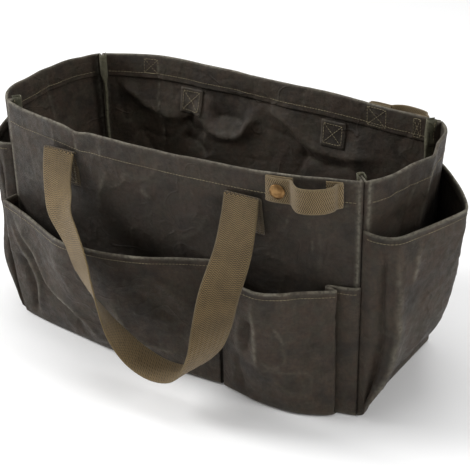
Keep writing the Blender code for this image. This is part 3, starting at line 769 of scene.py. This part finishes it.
class Nodes:
    """A short way to write a material's nodes."""

    def __init__(self, name):
        self.material = bpy.data.materials.new(name)
        self.material.use_nodes = True
        self.tree = self.material.node_tree
        self.shader = self.tree.nodes["Principled BSDF"]

    def put(self, kind, values=None, **settings):
        node = self.tree.nodes.new(kind)
        for key, value in settings.items():
            setattr(node, key, value)
        for key, value in (values or {}).items():
            self.join(value, node.inputs[key])
        return node

    def join(self, value, socket):
        if isinstance(value, bpy.types.NodeSocket):
            self.tree.links.new(value, socket)
        else:
            socket.default_value = value

    def math(self, operation, a, b=0.0):
        return self.put("ShaderNodeMath", {0: a, 1: b}, operation=operation).outputs[0]

    def times(self, a, b):
        return self.math("MULTIPLY", a, b)

    def plus(self, a, b):
        return self.math("ADD", a, b)

    def mark(self, name):
        """A mark that the mesh carries at its points."""
        return self.put("ShaderNodeAttribute", attribute_name=name).outputs["Fac"]

    def scaled(self, vector, by):
        return self.put("ShaderNodeVectorMath", {0: vector, 1: by}, operation="MULTIPLY").outputs[0]

    def lit(self, colour, shade):
        return self.put("ShaderNodeVectorMath", {0: colour, 3: shade}, operation="SCALE").outputs[0]

    def place(self, cut=False):
        """Where a point is: on the flat cut, or on the object at rest."""
        if cut:
            return self.put("ShaderNodeUVMap", uv_map="Cut").outputs[0]
        return self.put("ShaderNodeTexCoord").outputs["Object"]

    def noise(self, where, size, detail=2.0, rough=0.5, offset=0.0):
        spot = self.put("ShaderNodeVectorMath", {0: where, 1: (offset, offset * 0.7, 0)}, operation="ADD").outputs[0]
        values = {"Vector": spot, "Scale": 1 / size, "Detail": detail, "Roughness": rough}
        return self.put("ShaderNodeTexNoise", values).outputs[0]

    def ramp(self, value, low, high, out_low=0.0, out_high=1.0):
        values = {0: value, 1: low, 2: high, 3: out_low, 4: out_high}
        return self.put("ShaderNodeMapRange", values, interpolation_type="SMOOTHSTEP").outputs[0]

    def mix(self, share, a, b):
        node = self.put("ShaderNodeMix", data_type="RGBA")
        for value, key in ((share, 0), (a, 6), (b, 7)):
            self.join(value, node.inputs[key])
        return node.outputs[2]

    def bump(self, height, distance, strength=1.0, under=None):
        values = {"Height": height, "Distance": distance, "Strength": strength}
        if under:
            values["Normal"] = under
        return self.put("ShaderNodeBump", values).outputs[0]

    def finish(self, **inputs):
        for key, value in inputs.items():
            self.join(value, self.shader.inputs[key.replace("_", " ")])
        return self.material


def canvas_look(name, colours, pale="8F8A7A"):
    """Waxed canvas: a plain weave, mottled wax, random dark patches, painted shade that a mark carries at the points,
    and wax cracked pale where the cloth creased.
    """
    n = Nodes(name)
    cut, rest = n.place(cut=True), n.place()
    split = n.put("ShaderNodeSeparateXYZ", {0: cut})
    pitch = 0.00062
    drift = n.times(n.noise(cut, 0.006, 1), 0.0005)
    u = n.math("DIVIDE", n.plus(split.outputs[0], drift), pitch)
    v = n.math("DIVIDE", n.plus(split.outputs[1], drift), pitch)
    warp = n.math("ABSOLUTE", n.math("SINE", n.times(u, math.pi)))
    weft = n.math("ABSOLUTE", n.math("SINE", n.times(v, math.pi)))
    cell = n.plus(n.math("FLOOR", u), n.math("FLOOR", v))
    over = n.math("MODULO", n.math("ABSOLUTE", cell), 2.0)
    woven = n.plus(n.times(warp, over), n.times(weft, n.math("SUBTRACT", 1.0, over)))
    slub = n.noise(n.scaled(cut, (1, 0.06, 1)), 0.0011, 2, offset=0.4)
    slub_up = n.noise(n.scaled(cut, (0.06, 1, 1)), 0.0011, 2, offset=0.9)
    thread = n.plus(n.times(slub, 0.5), n.times(slub_up, 0.5))
    large = n.ramp(n.noise(rest, 0.055, 3, 0.55), 0.36, 0.66)
    middle = n.ramp(n.noise(rest, 0.014, 3, 0.6, offset=0.2), 0.36, 0.66)
    small = n.noise(rest, 0.0035, 3, 0.6, offset=0.5)
    grain = n.noise(cut, 0.0009, 2, 0.6)
    colour = n.mix(large, linear(colours[0]), linear(colours[1]))
    colour = n.mix(n.times(middle, 0.55), colour, linear(colours[2]))
    dark = n.ramp(n.noise(rest, 0.032, 3, 0.6, offset=0.8), 0.46, 0.70)
    colour = n.mix(n.times(dark, 0.60), colour, linear(colours[3]))
    # Painted shade: the mark at the points pulls the colour to the darkest tone.
    painted_shade = n.mark("grime")
    colour = n.mix(painted_shade, colour, linear(colours[3]))
    shade = n.ramp(thread, 0.34, 0.66, 0.90, 1.10)
    shade = n.times(shade, n.ramp(small, 0.30, 0.70, 0.82, 1.20))
    shade = n.times(shade, n.ramp(grain, 0.28, 0.72, 0.86, 1.14))
    shade = n.times(shade, n.ramp(woven, 0.1, 0.95, 0.82, 1.06))
    crease = n.math("ABSOLUTE", n.math("SUBTRACT", n.noise(rest, 0.034, 1, 0.4, offset=5.0), 0.5))
    crackle = n.times(n.ramp(crease, 0.030, 0.0), n.ramp(n.noise(rest, 0.05, 2, offset=6.0), 0.46, 0.64))
    lit = n.lit(colour, shade)
    mark = n.mark("pale")
    rubbed = n.ramp(n.noise(rest, 0.0042, 3, 0.7, offset=1.4), 0.34, 0.62)
    share = n.times(n.times(mark, n.plus(n.times(rubbed, 0.75), 0.25)), 0.85)
    specks = n.times(n.ramp(n.noise(cut, 0.0016, 2, 0.7, offset=2.1), 0.70, 0.80), 0.20)
    colour = n.mix(n.math("MAXIMUM", share, specks), lit, linear(pale))
    weave = n.bump(n.plus(woven, n.times(thread, 0.9)), 0.00016, 0.8)
    folded = n.plus(n.noise(rest, 0.0075, 3, 0.55, offset=3.0), n.times(crackle, 0.5))
    folded = n.plus(folded, n.times(n.noise(rest, 0.022, 2, 0.5, offset=3.6), 1.6))
    crumple = n.bump(folded, 0.0022, 0.45, under=weave)
    rough = n.ramp(n.noise(rest, 0.010, 3, 0.6, offset=2.6), 0.3, 0.7, 0.50, 0.72)
    return n.finish(Base_Color=colour, Roughness=rough, Normal=crumple, Specular_IOR_Level=0.30,
                    Sheen_Weight=0.02, Sheen_Roughness=0.5)


def webbing_look(name, width, colours):
    """Herringbone webbing: ribs that zigzag in columns, with paler selvages, random dirt, and a mark that paints shade
    on the handles' sewn ends and darkens parts of their legs.
    """
    n = Nodes(name)
    cut, rest = n.place(cut=True), n.place()
    split = n.put("ShaderNodeSeparateXYZ", {0: cut})
    u, v = split.outputs[0], split.outputs[1]
    column = 0.0024
    zigzag = n.math("PINGPONG", n.plus(u, 1.0), column)
    wave = n.math("DIVIDE", n.plus(v, n.times(zigzag, 0.80)), 0.0020)
    ribs = n.math("SINE", n.times(wave, TAU))
    ends = n.math("SINE", n.times(u, TAU / 0.00105))
    edge = n.ramp(n.math("ABSOLUTE", u), width / 2 - 0.0022, width / 2 - 0.0014)
    cords = n.math("SINE", n.times(v, TAU / 0.0011))
    body = n.plus(n.times(ribs, 0.8), n.times(ends, 0.2))
    woven = n.put("ShaderNodeMix", {0: edge, 2: body, 3: cords}, data_type="FLOAT").outputs[0]
    grain = n.noise(cut, 0.0008, 2, 0.7)
    large = n.ramp(n.noise(rest, 0.030, 3, 0.6), 0.35, 0.68)
    grime = n.ramp(n.noise(rest, 0.010, 4, 0.65, offset=0.7), 0.48, 0.78)
    colour = n.mix(large, linear(colours[0]), linear(colours[1]))
    colour = n.mix(n.times(grime, 0.45), colour, linear(colours[2]))
    colour = n.mix(n.times(edge, 0.30), colour, linear(colours[3]))
    # The mark darkens the band towards dark brown: painted shade on the handles' sewn ends, where the legs shadow them,
    # and a darker right leg and top of the left leg.
    wear_and_painted_shade = n.mark("grime")
    colour = n.mix(n.times(wear_and_painted_shade, n.ramp(large, 0.0, 1.0, 0.80, 1.0)), colour, linear("33291A"))
    shade = n.ramp(woven, -0.6, 0.6, 0.22, 1.40)
    shade = n.times(shade, n.ramp(grain, 0.25, 0.75, 0.85, 1.15))
    lit = n.lit(colour, shade)
    height = n.plus(woven, n.times(grain, 0.8))
    rib_bump = n.bump(height, 0.00030, 0.9)
    soft_bump = n.bump(n.noise(rest, 0.006, 2, 0.5, offset=1.0), 0.0008, 0.3, under=rib_bump)
    return n.finish(Base_Color=lit, Roughness=0.82, Normal=soft_bump, Specular_IOR_Level=0.2,
                    Sheen_Weight=0.15, Sheen_Roughness=0.5)


def thread_look():
    n = Nodes("light_thread")
    rest = n.place()
    colour = n.mix(n.ramp(n.noise(rest, 0.012, 3, 0.6), 0.35, 0.65), linear("8F8468"), linear("6E644E"))
    return n.finish(Base_Color=colour, Roughness=0.75, Normal=n.bump(n.noise(rest, 0.0003, 1), 0.0001, 0.5))


def brass_look():
    """Antiqued brass: bright where it is rubbed, brown and dull where it isn't."""
    n = Nodes("antique_brass")
    rest = n.place()
    rubbed = n.ramp(n.noise(rest, 0.0060, 3, 0.55), 0.36, 0.66)
    colour = n.mix(rubbed, linear("6E5233"), linear("94744C"))
    rough = n.ramp(n.noise(rest, 0.0030, 3, 0.6, offset=0.5), 0.3, 0.7, 0.34, 0.50)
    return n.finish(Base_Color=colour, Metallic=1.0, Roughness=rough,
                    Normal=n.bump(n.noise(rest, 0.0012, 2, 0.5), 0.00002, 0.25))


def floor_look():
    n = Nodes("pale_floor")
    return n.finish(Base_Color=(0.92, 0.92, 0.92, 1), Roughness=0.9, Specular_IOR_Level=0.1)


CANVAS_TONES = ("35291F", "3A2F24", "2D2B20", "18130D")
OUTSIDE = canvas_look("waxed_canvas", CANVAS_TONES)
TAPE_LOOK = canvas_look("binding_tape", ("4A493A", "525040", "44412F", "34321F"), pale="837D66")
WEBBING_LOOK = webbing_look("cotton_webbing", WEBBING_WIDTH, ("786442", "6E5B3B", "4C3D24", "84744F"))
STRAP_WIDTH = STRAP_Z[1] - STRAP_Z[0]
STRAP_LOOK = webbing_look("strap_webbing", STRAP_WIDTH, ("766447", "6E5D40", "53442C", "867656"))
THREAD_LOOK = thread_look()
BRASS = brass_look()
STITCH_LIFT = CANVAS / 2 + 0.0002


# ---- The bag

def canvas_piece(cloth, node, rests_on):
    thing = keep(cloth.build(CANVAS, OUTSIDE), "root", "waxed_canvas", node)
    size = (float(np.ptp(cloth.across)), float(np.ptp(cloth.up)))


def sewn(name, rows):
    keep(stitches(name, rows, THREAD_LOOK), "root", "webbing")


def wall_name(side):
    return f"{side}_wall" if side in LONG else f"{side}_end_wall"


def make_walls():
    for side in SIDES:
        cloth = wall_cloth(side)
        node = f"{side}_panel" if side in LONG else f"{side}_end_panel"
        canvas_piece(cloth, node, ["bottom_sheet"])
        ends = half_of(side) - 0.006
        outer = float(cloth.hem_line)
        inner = float(cloth.up[-6] - 0.0022)
        rows = [seam(cloth.at, ((-ends, up), (ends, up)), STITCH_LIFT) for up in (outer, inner)]
        sewn(f"{side}_hem_stitching", rows)


def make_bottom():
    s = spread(-0.985, 0.985, 0.012)
    v = np.linspace(0, 1, 24)[:, None]
    x = np.broadcast_to(s * HALF_L, (24, len(s)))
    front = -(HALF_W + bow("front", s, 0.0)) + 0.0016
    back = HALF_W + bow("back", s, 0.0) - 0.0016
    y = front + (back - front) * v
    x = x - LEAN * ramp(x, 0.13, 0.21)
    z = 0.0018 + 0.0006 * noise(x, y, 0.05, 91)
    cloth = Cloth("bottom_sheet", np.stack([x, y, z], -1))
    canvas_piece(cloth, "bottom_panel", [])


def make_pockets():
    made = (
        front_pocket("front_wide_pocket", WIDE_LIP, 152),
        front_pocket("front_small_pocket", SMALL_LIP, 130),
        back_pocket("back_wide_pocket", -0.2055, 0.0605, 0.026, 110),
        back_pocket("back_small_pocket", 0.0635, 0.2045, 0.022, 70),
        end_pocket("right"),
        end_pocket("left"),
    )
    for cloth in made:
        name = cloth.name.removesuffix("_cloth")
        canvas_piece(cloth, name, [wall_name(name.split("_")[0])])
        line = cloth.mouth - MOUTH_STITCH_DROP
        low, high = cloth.across[0] + 0.006, cloth.across[-1] - 0.006
        sewn(f"{name}_mouth_stitching", [seam(cloth.at, ((low, line), (high, line)), STITCH_LIFT)])


def corner_binding(front_back, left_right):
    """The tape that closes over a corner's two raw edges, inside the bag."""
    sx, sy = SIDES[left_right][0], SIDES[front_back][1]
    inward = np.array([-sx, -sy, 0]) / math.sqrt(2)
    aside = np.array([-sx, sy, 0]) / math.sqrt(2)
    corner = np.array([sx * HALF_L, sy * HALF_W, 0])
    z = spread(0.012, HEIGHT + 0.0024, 0.003)
    thick = 0.0014 + 0.0020 * ramp(z, 0.222, 0.232)
    depth = np.array([0.0062, 0.0085, 0.0115, 0.0140, 0.0152, 0.0157, 0.0152, 0.0140, 0.0115, 0.0085, 0.0062])
    across = np.array([1, 1, 1, 1, 0.72, 0, -0.72, -1, -1, -1, -1.0])
    drift = noise(z, z * 0, 0.03, 5 + sx * 2 + sy)[:, None] * 0.0007
    wave = noise(z[:, None], depth[None] * 3, 0.012, 31)[..., None] * 0.0003
    points = corner + inward * (depth[None, :, None] + drift[..., None])
    points = points + aside * (across[None, :] * thick[:, None] + drift)[..., None] + aside * wave
    points[..., 2] = z[:, None]
    points = settle(points)
    name = f"{front_back}_{left_right}_corner_tape"
    pale = 0.35 * np.exp(-(((depth - 0.0155) / 0.001) ** 2))[None] * np.ones((len(z), 1))
    cloth = Cloth(name, points, None, z - z[0], pale)
    thing = keep(cloth.build(TAPE, TAPE_LOOK), "root", "binding_tape", f"{front_back}_{left_right}_corner_binding")
    size = (float(np.ptp(cloth.across)), float(np.ptp(z)))
    rows = []
    for edge in (0.0022, float(cloth.across[-1]) - 0.0022):
        first, last, _ = seam(cloth.at, ((edge, 0.002), (edge, float(np.ptp(z)) - 0.002)), 0.0)
        sign = np.where(((first - corner) * aside).sum(-1, keepdims=True) > 0, 1.0, -1.0)
        outward = aside * sign
        rows.append((first + outward * 0.0005, last + outward * 0.0005, outward * np.ones_like(first)))
    sewn(f"{name}_stitching", rows)


FLOOR_TAPE_INSET = 0.0065


def bottom_binding():
    """The tape that closes over the floor seam's raw edges, inside the bag."""
    u = np.linspace(0, 1, 481)[:-1]
    section = np.array([(-0.0010, 0.0024), (-0.0011, 0.0060), (-0.0010, 0.0100), (-0.0006, 0.0112), (0.0, 0.0116),
                        (0.0006, 0.0112), (0.0010, 0.0100), (0.0011, 0.0060), (0.0010, 0.0024)])
    points = np.zeros((len(section), len(u) + 1, 3))
    for k, (out, z) in enumerate(section):
        line = []
        for side, direction in (("front", 1), ("right", 1), ("back", -1), ("left", -1)):
            half = half_of(side)
            s = direction * np.linspace(-1, 1, 121)[:-1] * (1 - FLOOR_TAPE_INSET / half)
            line.append(plan_wall(side, s * half, np.full(s.shape, z), out - FLOOR_TAPE_INSET))
        ring = np.vstack(line)
        smooth_ring = (np.roll(ring, 1, 0) + ring * 2 + np.roll(ring, -1, 0)) / 4
        points[k, :-1] = smooth_ring
        points[k, -1] = smooth_ring[0]
    cloth = Cloth("floor_seam_tape", points)
    thing = keep(cloth.build(TAPE, TAPE_LOOK, ring=True), "root", "binding_tape", "bottom_binding")


# ---- Handles

HANDLE_ROUTE = (
    (-108.5, 0, 0, 0), (-109, 4, 18, 3), (-104, 12, 38, 11), (-89, 26, 56, 22), (-67.5, 38.5, 74, 26),
    (-54.5, 46, 90, 25), (-47, 48, 106, 29), (-34.5, 48.5, 130, 42), (-15, 49, 156, 64), (11, 49.5, 176.5, 82),
    (41, 49.5, 185, 90), (70, 49.5, 177.5, 98), (91.5, 49, 150, 116), (101, 46, 118, 138), (106, 39, 86, 156),
    (112, 24, 49, 169), (110, 8, 20, 177), (108.5, 0, 0, 180),
)


def joint_named(name):
    return next(joint for joint in frame["joints"] if joint["name"] == name)


def handle(side):
    """One band from its left sewn end, over its fold, down round the grip and up to its right sewn end."""
    swing = joint_named(f"{side}_handle_swing")
    hinge = np.array(swing["pos_m"], float)
    along = np.array(swing["axis"], float)
    along = along / np.linalg.norm(along) * (1 if swing["axis"][0] > 0 else -1)
    out = np.cross((0, 0, 1), along) * SIDES[side][1]
    boxes = [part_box(f"{side}_handle_{end}_sewn_end") for end in ("left", "right")]
    points = np.array(HANDLE_ROUTE) * (MM, MM, MM, 1)
    route = smooth_curve(points, 150, dense=60)
    stretch = (boxes[1][0].x - boxes[0][0].x) / 2 / abs(along[0]) / points[-1, 0]
    band = hinge + along * route[:, 0:1] * stretch + out * route[:, 1:2] + np.array([0, 0, -1]) * route[:, 2:3]
    turn = np.radians(route[:, 3:4])
    across = along * np.cos(turn) + out * np.sin(turn)
    parts, sides = [], []
    for k, (low, high) in enumerate(boxes):
        x = (low.x + high.x) / 2
        z = spread(low.z, high.z, 0.003)
        lying = wall_at(side, np.full(z.shape, x), z, CANVAS / 2 + CLEAR + WEBBING / 2)
        end = band[0] if k == 0 else band[-1]
        top = lying[-1]
        arc = []
        for angle in np.radians((35, 65, 90, 115, 145)):
            f = (1 - math.cos(angle)) / 2
            point = top * (1 - f) + end * f
            point[2] = high.z + (end[2] - high.z) * f + math.sin(angle) * 0.0021
            arc.append(point)
        piece = np.vstack([lying, arc])
        parts.append(piece if k == 0 else piece[::-1])
        sign = 1 if k == 0 else -1
        sides.append(np.broadcast_to(along * sign, piece.shape))
    centres = np.vstack([parts[0], band, parts[1]])
    turned_across = np.vstack([sides[0], across, sides[1]])
    run = unit(np.gradient(centres, axis=0))
    turned_across = unit(turned_across - run * (turned_across * run).sum(-1, keepdims=True))
    name = f"{side}_handle_webbing"
    # Painted shade on the sewn ends, for the shadow the legs cast on them; the right leg and the top of the left leg
    # are made darker too.
    place = np.linspace(0, 1, len(band))
    grime = 0.42 * ramp(place, 0.60, 0.78) + 0.25 * ramp(place, 0.06, 0.0)
    grime = np.concatenate([np.full(len(parts[0]), 0.72), grime, np.full(len(parts[1]), 0.78)])
    thing, length = ribbon(name, centres, turned_across, WEBBING_WIDTH, WEBBING_LOOK, grime)
    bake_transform(thing)
    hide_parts(f"{side}_handle", f"{side}_handle_left_sewn_end", f"{side}_handle_right_sewn_end")
    for end, (low, high) in zip(("left", "right"), boxes):
        make_patch(side, end, (low.x + high.x) / 2, low.z, high.z)


def wall_surface(side, out):
    """A surface lying on a wall, as (x, z), for seam()."""
    sign = SIDES[side][1] * (1 if out > 0 else -1)

    def surface(x, z):
        point = wall_at(side, x, z, out)
        step = 0.002
        run = wall_at(side, x + step, z, out) - point
        rise = wall_at(side, x, z + step, out) - point
        return point, unit(np.cross(run, rise)) * (-sign)

    return surface


def make_patch(side, end, x, low, high):
    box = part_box(f"{side}_handle_{end}_patch")
    left, right, top = box[0].x + 0.0025, box[1].x - 0.0025, box[1].z
    bottom = top - 0.82 * (top - box[0].z)
    xs, zs = spread(left, right, 0.0022), spread(bottom, top, 0.0022)
    depth = -(CANVAS * 1.45)
    points = wall_at(side, xs[None, :], zs[:, None], depth)
    puff = noise(xs[None, :], zs[:, None], 0.012, 17) * 0.0003
    points[..., 1] += -SIDES[side][1] * (puff + 0.0002)
    edge_x = np.minimum(xs - left, right - xs)[None, :]
    edge_z = np.minimum(zs - bottom, top - zs)[:, None]
    pale = 0.16 * np.exp(-((np.minimum(edge_x, edge_z) / 0.0012) ** 2))
    cloth = Cloth(f"{side}_handle_{end}_backing", points, xs, zs, pale)
    thing = keep(cloth.build(CANVAS, OUTSIDE), "root", "waxed_canvas", f"{side}_handle_{end}_patch")
    inside = wall_surface(side, depth)
    m = 0.0035
    lines = boxed(left + m, right - m, bottom + m, top - m)
    rows = [seam(inside, line, CANVAS / 2 + 0.0008) for line in lines]
    outside = wall_surface(side, CANVAS / 2 + CLEAR + WEBBING)
    half = WEBBING_WIDTH / 2 - 0.004
    lines = boxed(x - half, x + half, low + 0.004, high - 0.004)
    rows += [seam(outside, line, 0.0001) for line in lines]
    sewn(f"{side}_handle_{end}_stitching", rows)


# ---- Snap straps

ANCHOR = (0.1802, 0.1878)
BACK_HEM_BOX = (-0.1620, -0.1455, 0.2345, 0.2505)

STRAP_ROUTE = (
    (178.5, 1.4), (182, 1.4), (186, 1.4), (190, 1.5), (192.2, 2.1), (192.8, 3.3), (191.2, 4.8), (188.4, 7),
    (186.2, 12.8), (180, 19), (172, 22.2), (164, 23.2), (158, 21.5), (153.5, 16), (150, 9.8), (147, 6.8),
    (140, 6.8), (133, 6.8), (127.5, 6), (124, 4.6),
)


# The press stud's four parts, as (radius, out) outlines.
STUD_PROFILES = {
    "cap": ((0, 2.9), (1.2, 2.88), (2.6, 2.76), (4, 2.52), (5.2, 2.16), (6.1, 1.68), (6.7, 1.2), (7.2, 1.02),
            (7.5, 0.75), (7.6, 0.4), (7.5, 0), (6, -0.1), (1.8, 0), (1.8, -2.1), (0, -2.1)),
    "socket": ((3.6, 2.2), (5.8, 2.2), (6.2, 1.8), (6.2, 0.6), (5.6, 0), (4.2, 0), (3.6, 0.4), (3.6, 2.2)),
    "stud": ((1.8, 2.3), (2.4, 2.3), (2.8, 1.8), (2.8, 1.3), (2.3, 0.6), (5, 0.5), (5.6, 0.2), (5.6, 0), (1.8, 0),
             (1.8, 2.3)),
    "post": ((0, 2.2), (1.4, 2.2), (1.4, 0.5), (4.8, 0.5), (5, 0.3), (5, 0), (0, 0)),
}


def off_wall(side, x, z, out):
    """A point out from the outside of the wall's canvas, where that has no slack."""
    return plan_wall(side, np.asarray(x, float), np.asarray(z, float), CANVAS / 2 + np.asarray(out, float))


def flat_band(name, side, route):
    """A band along a wall through (x, out) places, standing on edge across the hem."""
    route = smooth_curve(route, len(route) * 14)
    middle = (STRAP_Z[0] + STRAP_Z[1]) / 2
    low, high = (off_wall(side, route[:, 0], np.full(len(route), z), route[:, 1]) for z in STRAP_Z)
    centres = (low + high) / 2
    centres[:, 2] = middle
    across = high - low
    across[:, :2] *= 1 - ramp(route[:, 1:2], 0.0021, 0.0030)
    return ribbon(name, centres, across, STRAP_WIDTH, STRAP_LOOK)


def strap_surface(side, route):
    """A surface lying on a band, as (x, z), for seam()."""
    route = smooth_curve(route, 120)
    order = np.argsort(route[:, 0])

    def surface(x, z):
        out = np.interp(x, route[order, 0], route[order, 1]) + WEBBING / 2
        point = off_wall(side, x, z, out)
        ahead = off_wall(side, x + 0.001, z, out)
        normal = unit(np.cross(ahead - point, (0, 0, 1))) * -SIDES[side][1]
        return point, normal

    return surface


def snap(side):
    cap_box, post_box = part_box(f"{side}_snap_cap"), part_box(f"{side}_snap_post")
    cap_middle, post_middle = ((b[0] + b[1]) / 2 for b in (cap_box, post_box))
    out = (cap_middle - post_middle).normalized()
    tab_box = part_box(f"{side}_snap_tab")
    route = [(x * MM, out * MM) for x, out in STRAP_ROUTE]
    if side == "back":
        route = [(x, out if out < 0.01 else 0.01 + (out - 0.01) * 0.35) for x, out in route]
    band, length = flat_band(f"{side}_strap_webbing", side, route)
    swing = joint_named(f"{side}_strap_swing")
    turn = Vector(swing["pos_m"])
    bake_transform(band)
    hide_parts(f"{side}_snap_strap", f"{side}_strap_anchor")

    ends = (tab_box[0].x, tab_box[1].x)
    tab_route = [(x, 0.0020) for x in np.linspace(*ends, 5)]
    tab, tab_length = flat_band(f"{side}_tab_webbing", side, tab_route)
    keep(tab, "root", "webbing", f"{side}_snap_tab")

    surface = strap_surface(side, tab_route)
    m = 0.0028
    low, high = STRAP_Z[0] + m, STRAP_Z[1] - m
    lines = boxed(ends[0] + m, ends[1] - m, low, high)
    sewn(f"{side}_tab_stitching", [seam(surface, line, 0.0001) for line in lines])
    anchor = strap_surface(side, ((0.178, 0.0014), (0.185, 0.0014), (0.190, 0.0014)))
    lines = boxed(*ANCHOR, low, high)
    rows = [seam(anchor, line, 0.0001) for line in lines]
    inside = wall_surface(side, -(CANVAS / 2 + 0.0022))
    lines = boxed(ANCHOR[0], 0.1885, low, high) + boxed(ends[0] + 0.001, ends[1] - 0.001, low, high)
    if side == "back":
        lines += boxed(*BACK_HEM_BOX)
    rows += [seam(inside, line, CANVAS / 2 + 0.0001) for line in lines]
    sewn(f"{side}_strap_stitching", rows)

    for part, profile in STUD_PROFILES.items():
        low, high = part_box(f"{side}_snap_{part}")
        profile = np.array(profile) * MM
        middle = (low + high) / 2 - out * (profile[:, 1].min() + profile[:, 1].max()) / 2
        piece = turned(f"{side}_stud_{part}", profile, middle, out, BRASS)
        body = f"{side}_strap" if part in ("cap", "socket") else "root"
        keep(piece, body, "antique_brass", f"{side}_snap_{part}")


make_bottom()
make_walls()
make_pockets()
for front_back in LONG:
    for left_right in ("left", "right"):
        corner_binding(front_back, left_right)
bottom_binding()
for side in LONG:
    handle(side)
    snap(side)


# ---- Floor, light and camera

def stage():
    run = [(6 * math.cos(a), 6 * math.sin(a), 0) for a in np.linspace(0, TAU, 65)[:-1]]
    ground = add_mesh("floor", run, [tuple(range(64))], floor_look())


def area_light(name, place, aim, size, power):
    data = bpy.data.lights.new(name, "AREA")
    data.shape = "DISK"
    data.size = size
    data.energy = power
    lamp = bpy.data.objects.new(name, data)
    lamp.location = place
    lamp.rotation_euler = (Vector(aim) - Vector(place)).to_track_quat("-Z", "Y").to_euler()
    bpy.context.scene.collection.objects.link(lamp)


def light():
    world = bpy.data.worlds.new("studio")
    world.use_nodes = True
    sky = world.node_tree.nodes["Background"]
    sky.inputs["Color"].default_value = (1, 1, 1, 1)
    sky.inputs["Strength"].default_value = 0.50
    bpy.context.scene.world = world
    area_light("left", (-1.9, -0.7, 1.3), (0, 0, 0.10), 0.8, 46)
    area_light("right", (2.0, -0.2, 1.2), (0, 0, 0.10), 0.8, 17)
    area_light("above", (0.0, 0.3, 2.2), (0, 0, 0.10), 1.6, 18)
    bpy.context.scene.view_settings.view_transform = "Standard"


def camera():
    data = bpy.data.cameras.new("camera")
    data.sensor_width = 36
    data.lens = 104.5
    data.clip_start, data.clip_end = 0.05, 50
    view = bpy.data.objects.new("camera", data)
    turn, rise, roll = (math.radians(a) for a in (33.40, 27.10, -1.91))
    forward = Vector((-math.sin(turn) * math.cos(rise), math.cos(turn) * math.cos(rise), -math.sin(rise)))
    right = forward.cross(Vector((0, 0, 1))).normalized()
    up = right.cross(forward)
    across = right * math.cos(roll) + up * math.sin(roll)
    upward = up * math.cos(roll) - right * math.sin(roll)
    basis = Matrix((across, upward, -forward)).transposed()
    target = Vector((0.01638, 0, 0.1155))
    view.matrix_world = Matrix.Translation(target - forward * 1.43556) @ basis.to_4x4()
    bpy.context.scene.collection.objects.link(view)
    bpy.context.scene.camera = view


stage()
light()
camera()
